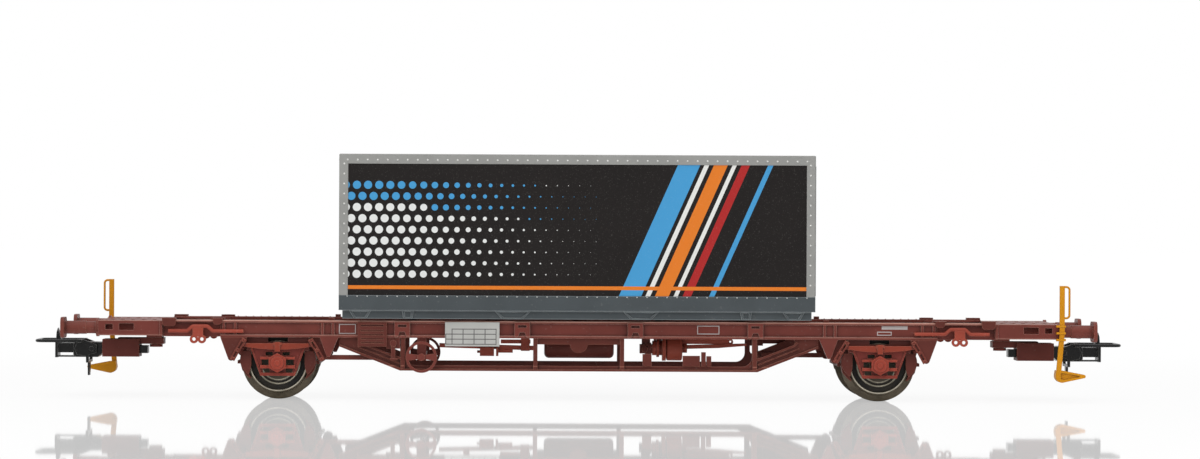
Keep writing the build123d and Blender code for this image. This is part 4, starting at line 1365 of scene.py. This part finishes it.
@dataclass
class SwapBody:
    """The container on the deck.

    Attributes:
        top_drop_mm: Upper rivet row below the top edge.
        foot_z_mm: Height of the lower rivet row.
        corner_mm: First rivet of a row from the container's end.
        post_mm: Rivet row on a post from the container's end.
        post_drop_mm: First rivet on a post below the upper row.
        pitch_mm: Step between rivets.
        rivet_mm: Radius of a rivet head.
        small_mm: Radius of a small rivet head in the lower row.
    """

    top_drop_mm: float = 1.1
    foot_z_mm: float = 19.75
    corner_mm: float = 1.1
    post_mm: float = 0.96
    post_drop_mm: float = 0.75
    pitch_mm: float = 1.885
    rivet_mm: float = 0.18
    small_mm: float = 0.11

    def dress(self, finishes: Finishes) -> None:
        """Give the container its finishes.

        Args:
            finishes: Store of materials.
        """
        finishes.dress(Paint.RAIL, "container_base")
        finishes.dress(Paint.DARK, "lock_bars")
        finishes.dress(Paint.LIGHT, "container_frame", "container_roof",
                       *(f"container_door_{side}" for side in SIDES))
        finishes.dress(PrintedPanel("panel_print"), "container_side_near", "container_side_far")
        finishes.dress(Paint.WALL, "container_front")

    def rows(self) -> list[RivetRow]:
        """Lay out the rivet rows of both long sides and both ends.

        Returns:
            The rows.
        """
        (x0, y0, _), (x1, y1, z1) = ([v / MM for v in corner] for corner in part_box("container_frame"))
        p, top = self.pitch_mm, z1 - self.top_drop_mm
        heights = ((top, self.rivet_mm), (self.foot_z_mm, self.small_mm))
        long = int((x1 - x0 - 2 * self.corner_mm) / p) + 1
        wide = int((y1 - y0 - 2 * self.corner_mm) / p) + 1
        tall = int((top - self.foot_z_mm) / p)
        rows: list[RivetRow] = []
        for y, facing in ((y0, Facing.NEAR), (y1, Facing.FAR)):
            for z, size in heights:
                rows.append(RivetRow(((x0 + x1 - (long - 1) * p) / 2, y, z), (p, 0, 0), long, facing, size))
            for x in (x0 + self.post_mm, x1 - self.post_mm):
                first = (x, y, top - self.post_drop_mm)
                rows.append(RivetRow(first, (0, 0, -p), tall, facing, self.rivet_mm))
        for x, facing in ((x0, Facing.LEFT), (x1, Facing.RIGHT)):
            for z, size in heights:
                rows.append(RivetRow((x, -(wide - 1) * p / 2, z), (0, p, 0), wide, facing, size))
        return rows

    def build(self, finishes: Finishes) -> None:
        """Make the rivets.

        Args:
            finishes: Store of materials.
        """
        piece = RivetMaker().build("container_rivets", self.rows(), finishes.get(Paint.RIVET))
        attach(piece, "container")
        LOG.info("built %s", piece.name)


@dataclass
class Studio:
    """Floor, light and camera.

    Attributes:
        eye_mm: Place of the camera, which looks straight across the wagon.
        roll_rad: Roll of the camera.
        lens_mm: Focal length.
        sensor_mm: Width of the picture behind the lens.
        near_m: Least distance that the camera sees.
        shift: Shift of the picture, in picture widths.
        mirror: Share of the floor's reflection.
        glow: Share of plain white that the camera sees on the floor by the wagon.
        fade_mm: Distances along and across over which that white becomes full.
        polish: Roughness of the floor's reflection.
        haze_mm: Size of the floor's faint clouds.
        floor_m: Half width of the floor.
        paper: Screen colours of the floor.
        surround: Light of the surround.
        lamps: Name, place in metres, width in metres and power of each lamp.
        aim_m: Point that the lamps face.
    """

    eye_mm: Triple = (-9.2, -698.06, 35.2)
    roll_rad: float = 0.0047
    lens_mm: float = 108.74
    sensor_mm: float = 36.0
    near_m: float = 0.01
    shift: Pair = (0.0577, -0.0121)
    mirror: float = 0.45
    glow: float = 0.84
    fade_mm: tuple[Pair, Pair] = ((110.0, 320.0), (30.0, 260.0))
    polish: float = 0.03
    haze_mm: float = 60.0
    floor_m: float = 3.0
    paper: tuple[Screen, Screen] = ((244, 244, 244), (250, 250, 250))
    surround: float = 0.42
    lamps: tuple[tuple[str, Triple, float, float], ...] = (
        ("top_light", (0.0, -0.25, 0.7), 0.9, 3.0),
        ("front_left", (-0.6, -0.8, 0.45), 0.6, 2.0),
        ("front_right", (0.7, -0.7, 0.35), 0.6, 1.2))
    aim_m: Triple = (0.0, 0.0, 0.02)

    def camera(self) -> None:
        """Set up the camera at the photograph's view."""
        data = bpy.data.cameras.new("camera")
        data.sensor_fit = "HORIZONTAL"
        data.sensor_width = self.sensor_mm
        data.lens = self.lens_mm
        data.shift_x, data.shift_y = self.shift
        data.clip_start = self.near_m
        cam = bpy.data.objects.new("camera", data)
        bpy.context.collection.objects.link(cam)
        look, right, up = Vector((0, 1, 0)), Vector((1, 0, 0)), Vector((0, 0, 1))
        side = right * math.cos(self.roll_rad) + up * math.sin(self.roll_rad)
        top = up * math.cos(self.roll_rad) - right * math.sin(self.roll_rad)
        turn = Matrix((side, top, -look)).transposed().to_4x4()
        cam.matrix_world = Matrix.Translation(Vector(self.eye_mm) * MM) @ turn
        bpy.context.scene.camera = cam

    def floor(self) -> None:
        """Lay a glossy white floor."""
        s = Shader("floor_gloss")
        clouds = s.mix(s.noise(self.haze_mm, 3.0), *(linear(rgb) for rgb in self.paper))
        s.feed(Base_Color=clouds, Roughness=0.6, Specular_IOR_Level=0.0)
        camera = Value(s, s.add("ShaderNodeLightPath").outputs["Is Camera Ray"])
        x, y, _ = s.axes()
        along, across = self.fade_mm
        away = abs(x).ramp(*along).high(abs(y).ramp(*across))
        white = s.add("ShaderNodeEmission", None, {"Color": WHITE, "Strength": 1.0})
        share = camera * (away * (1.0 - self.glow) + self.glow)
        plain = s.add("ShaderNodeMixShader", None,
                      {0: share, 1: s.surface.outputs[0], 2: white.outputs[0]})
        gloss = s.add("ShaderNodeBsdfGlossy", None, {"Color": WHITE, "Roughness": self.polish})
        both = s.add("ShaderNodeMixShader", None,
                     {0: self.mirror, 1: plain.outputs[0], 2: gloss.outputs[0]})
        s.set(s.out.inputs[0], both.outputs[0])
        half = self.floor_m
        mesh = bpy.data.meshes.new("floor")
        corners = [(-half, -half, 0), (half, -half, 0), (half, half, 0), (-half, half, 0)]
        mesh.from_pydata(corners, [], [(0, 1, 2, 3)])
        obj = add_piece("floor", mesh, s.material)

    def light(self) -> None:
        """Hang soft lamps and set an even pale surround."""
        scene = bpy.context.scene
        scene.view_settings.view_transform = "Standard"
        world = bpy.data.worlds.new("surround")
        scene.world = world
        world.use_nodes = True
        world.node_tree.nodes.clear()
        g = Graph(world.node_tree)
        soft, white = (g.add("ShaderNodeBackground", None, {"Color": WHITE, "Strength": strength})
                       for strength in (self.surround, 1.0))
        mix = g.add("ShaderNodeMixShader", None, {0: g.seen_ray(), 1: soft.outputs[0], 2: white.outputs[0]})
        g.add("ShaderNodeOutputWorld", None, {0: mix.outputs[0]})
        for name, place, size, power in self.lamps:
            lamp = bpy.data.lights.new(name, "AREA")
            lamp.energy = power
            lamp.size = size
            obj = bpy.data.objects.new(name, lamp)
            obj.location = place
            aim = Vector(self.aim_m) - Vector(place)
            obj.rotation_euler = aim.to_track_quat("-Z", "Y").to_euler()
            bpy.context.collection.objects.link(obj)


def main() -> None:
    """Build and dress every sub-assembly in order."""
    logging.basicConfig(level=logging.INFO, format="%(message)s")
    finishes = Finishes()
    for part in (Underframe(), RunningGear(), Couplings(), SwapBody()):
        part.dress(finishes)
        part.build(finishes)
    studio = Studio()
    studio.floor()
    studio.light()
    studio.camera()


if __name__ == "__main__":
    main()
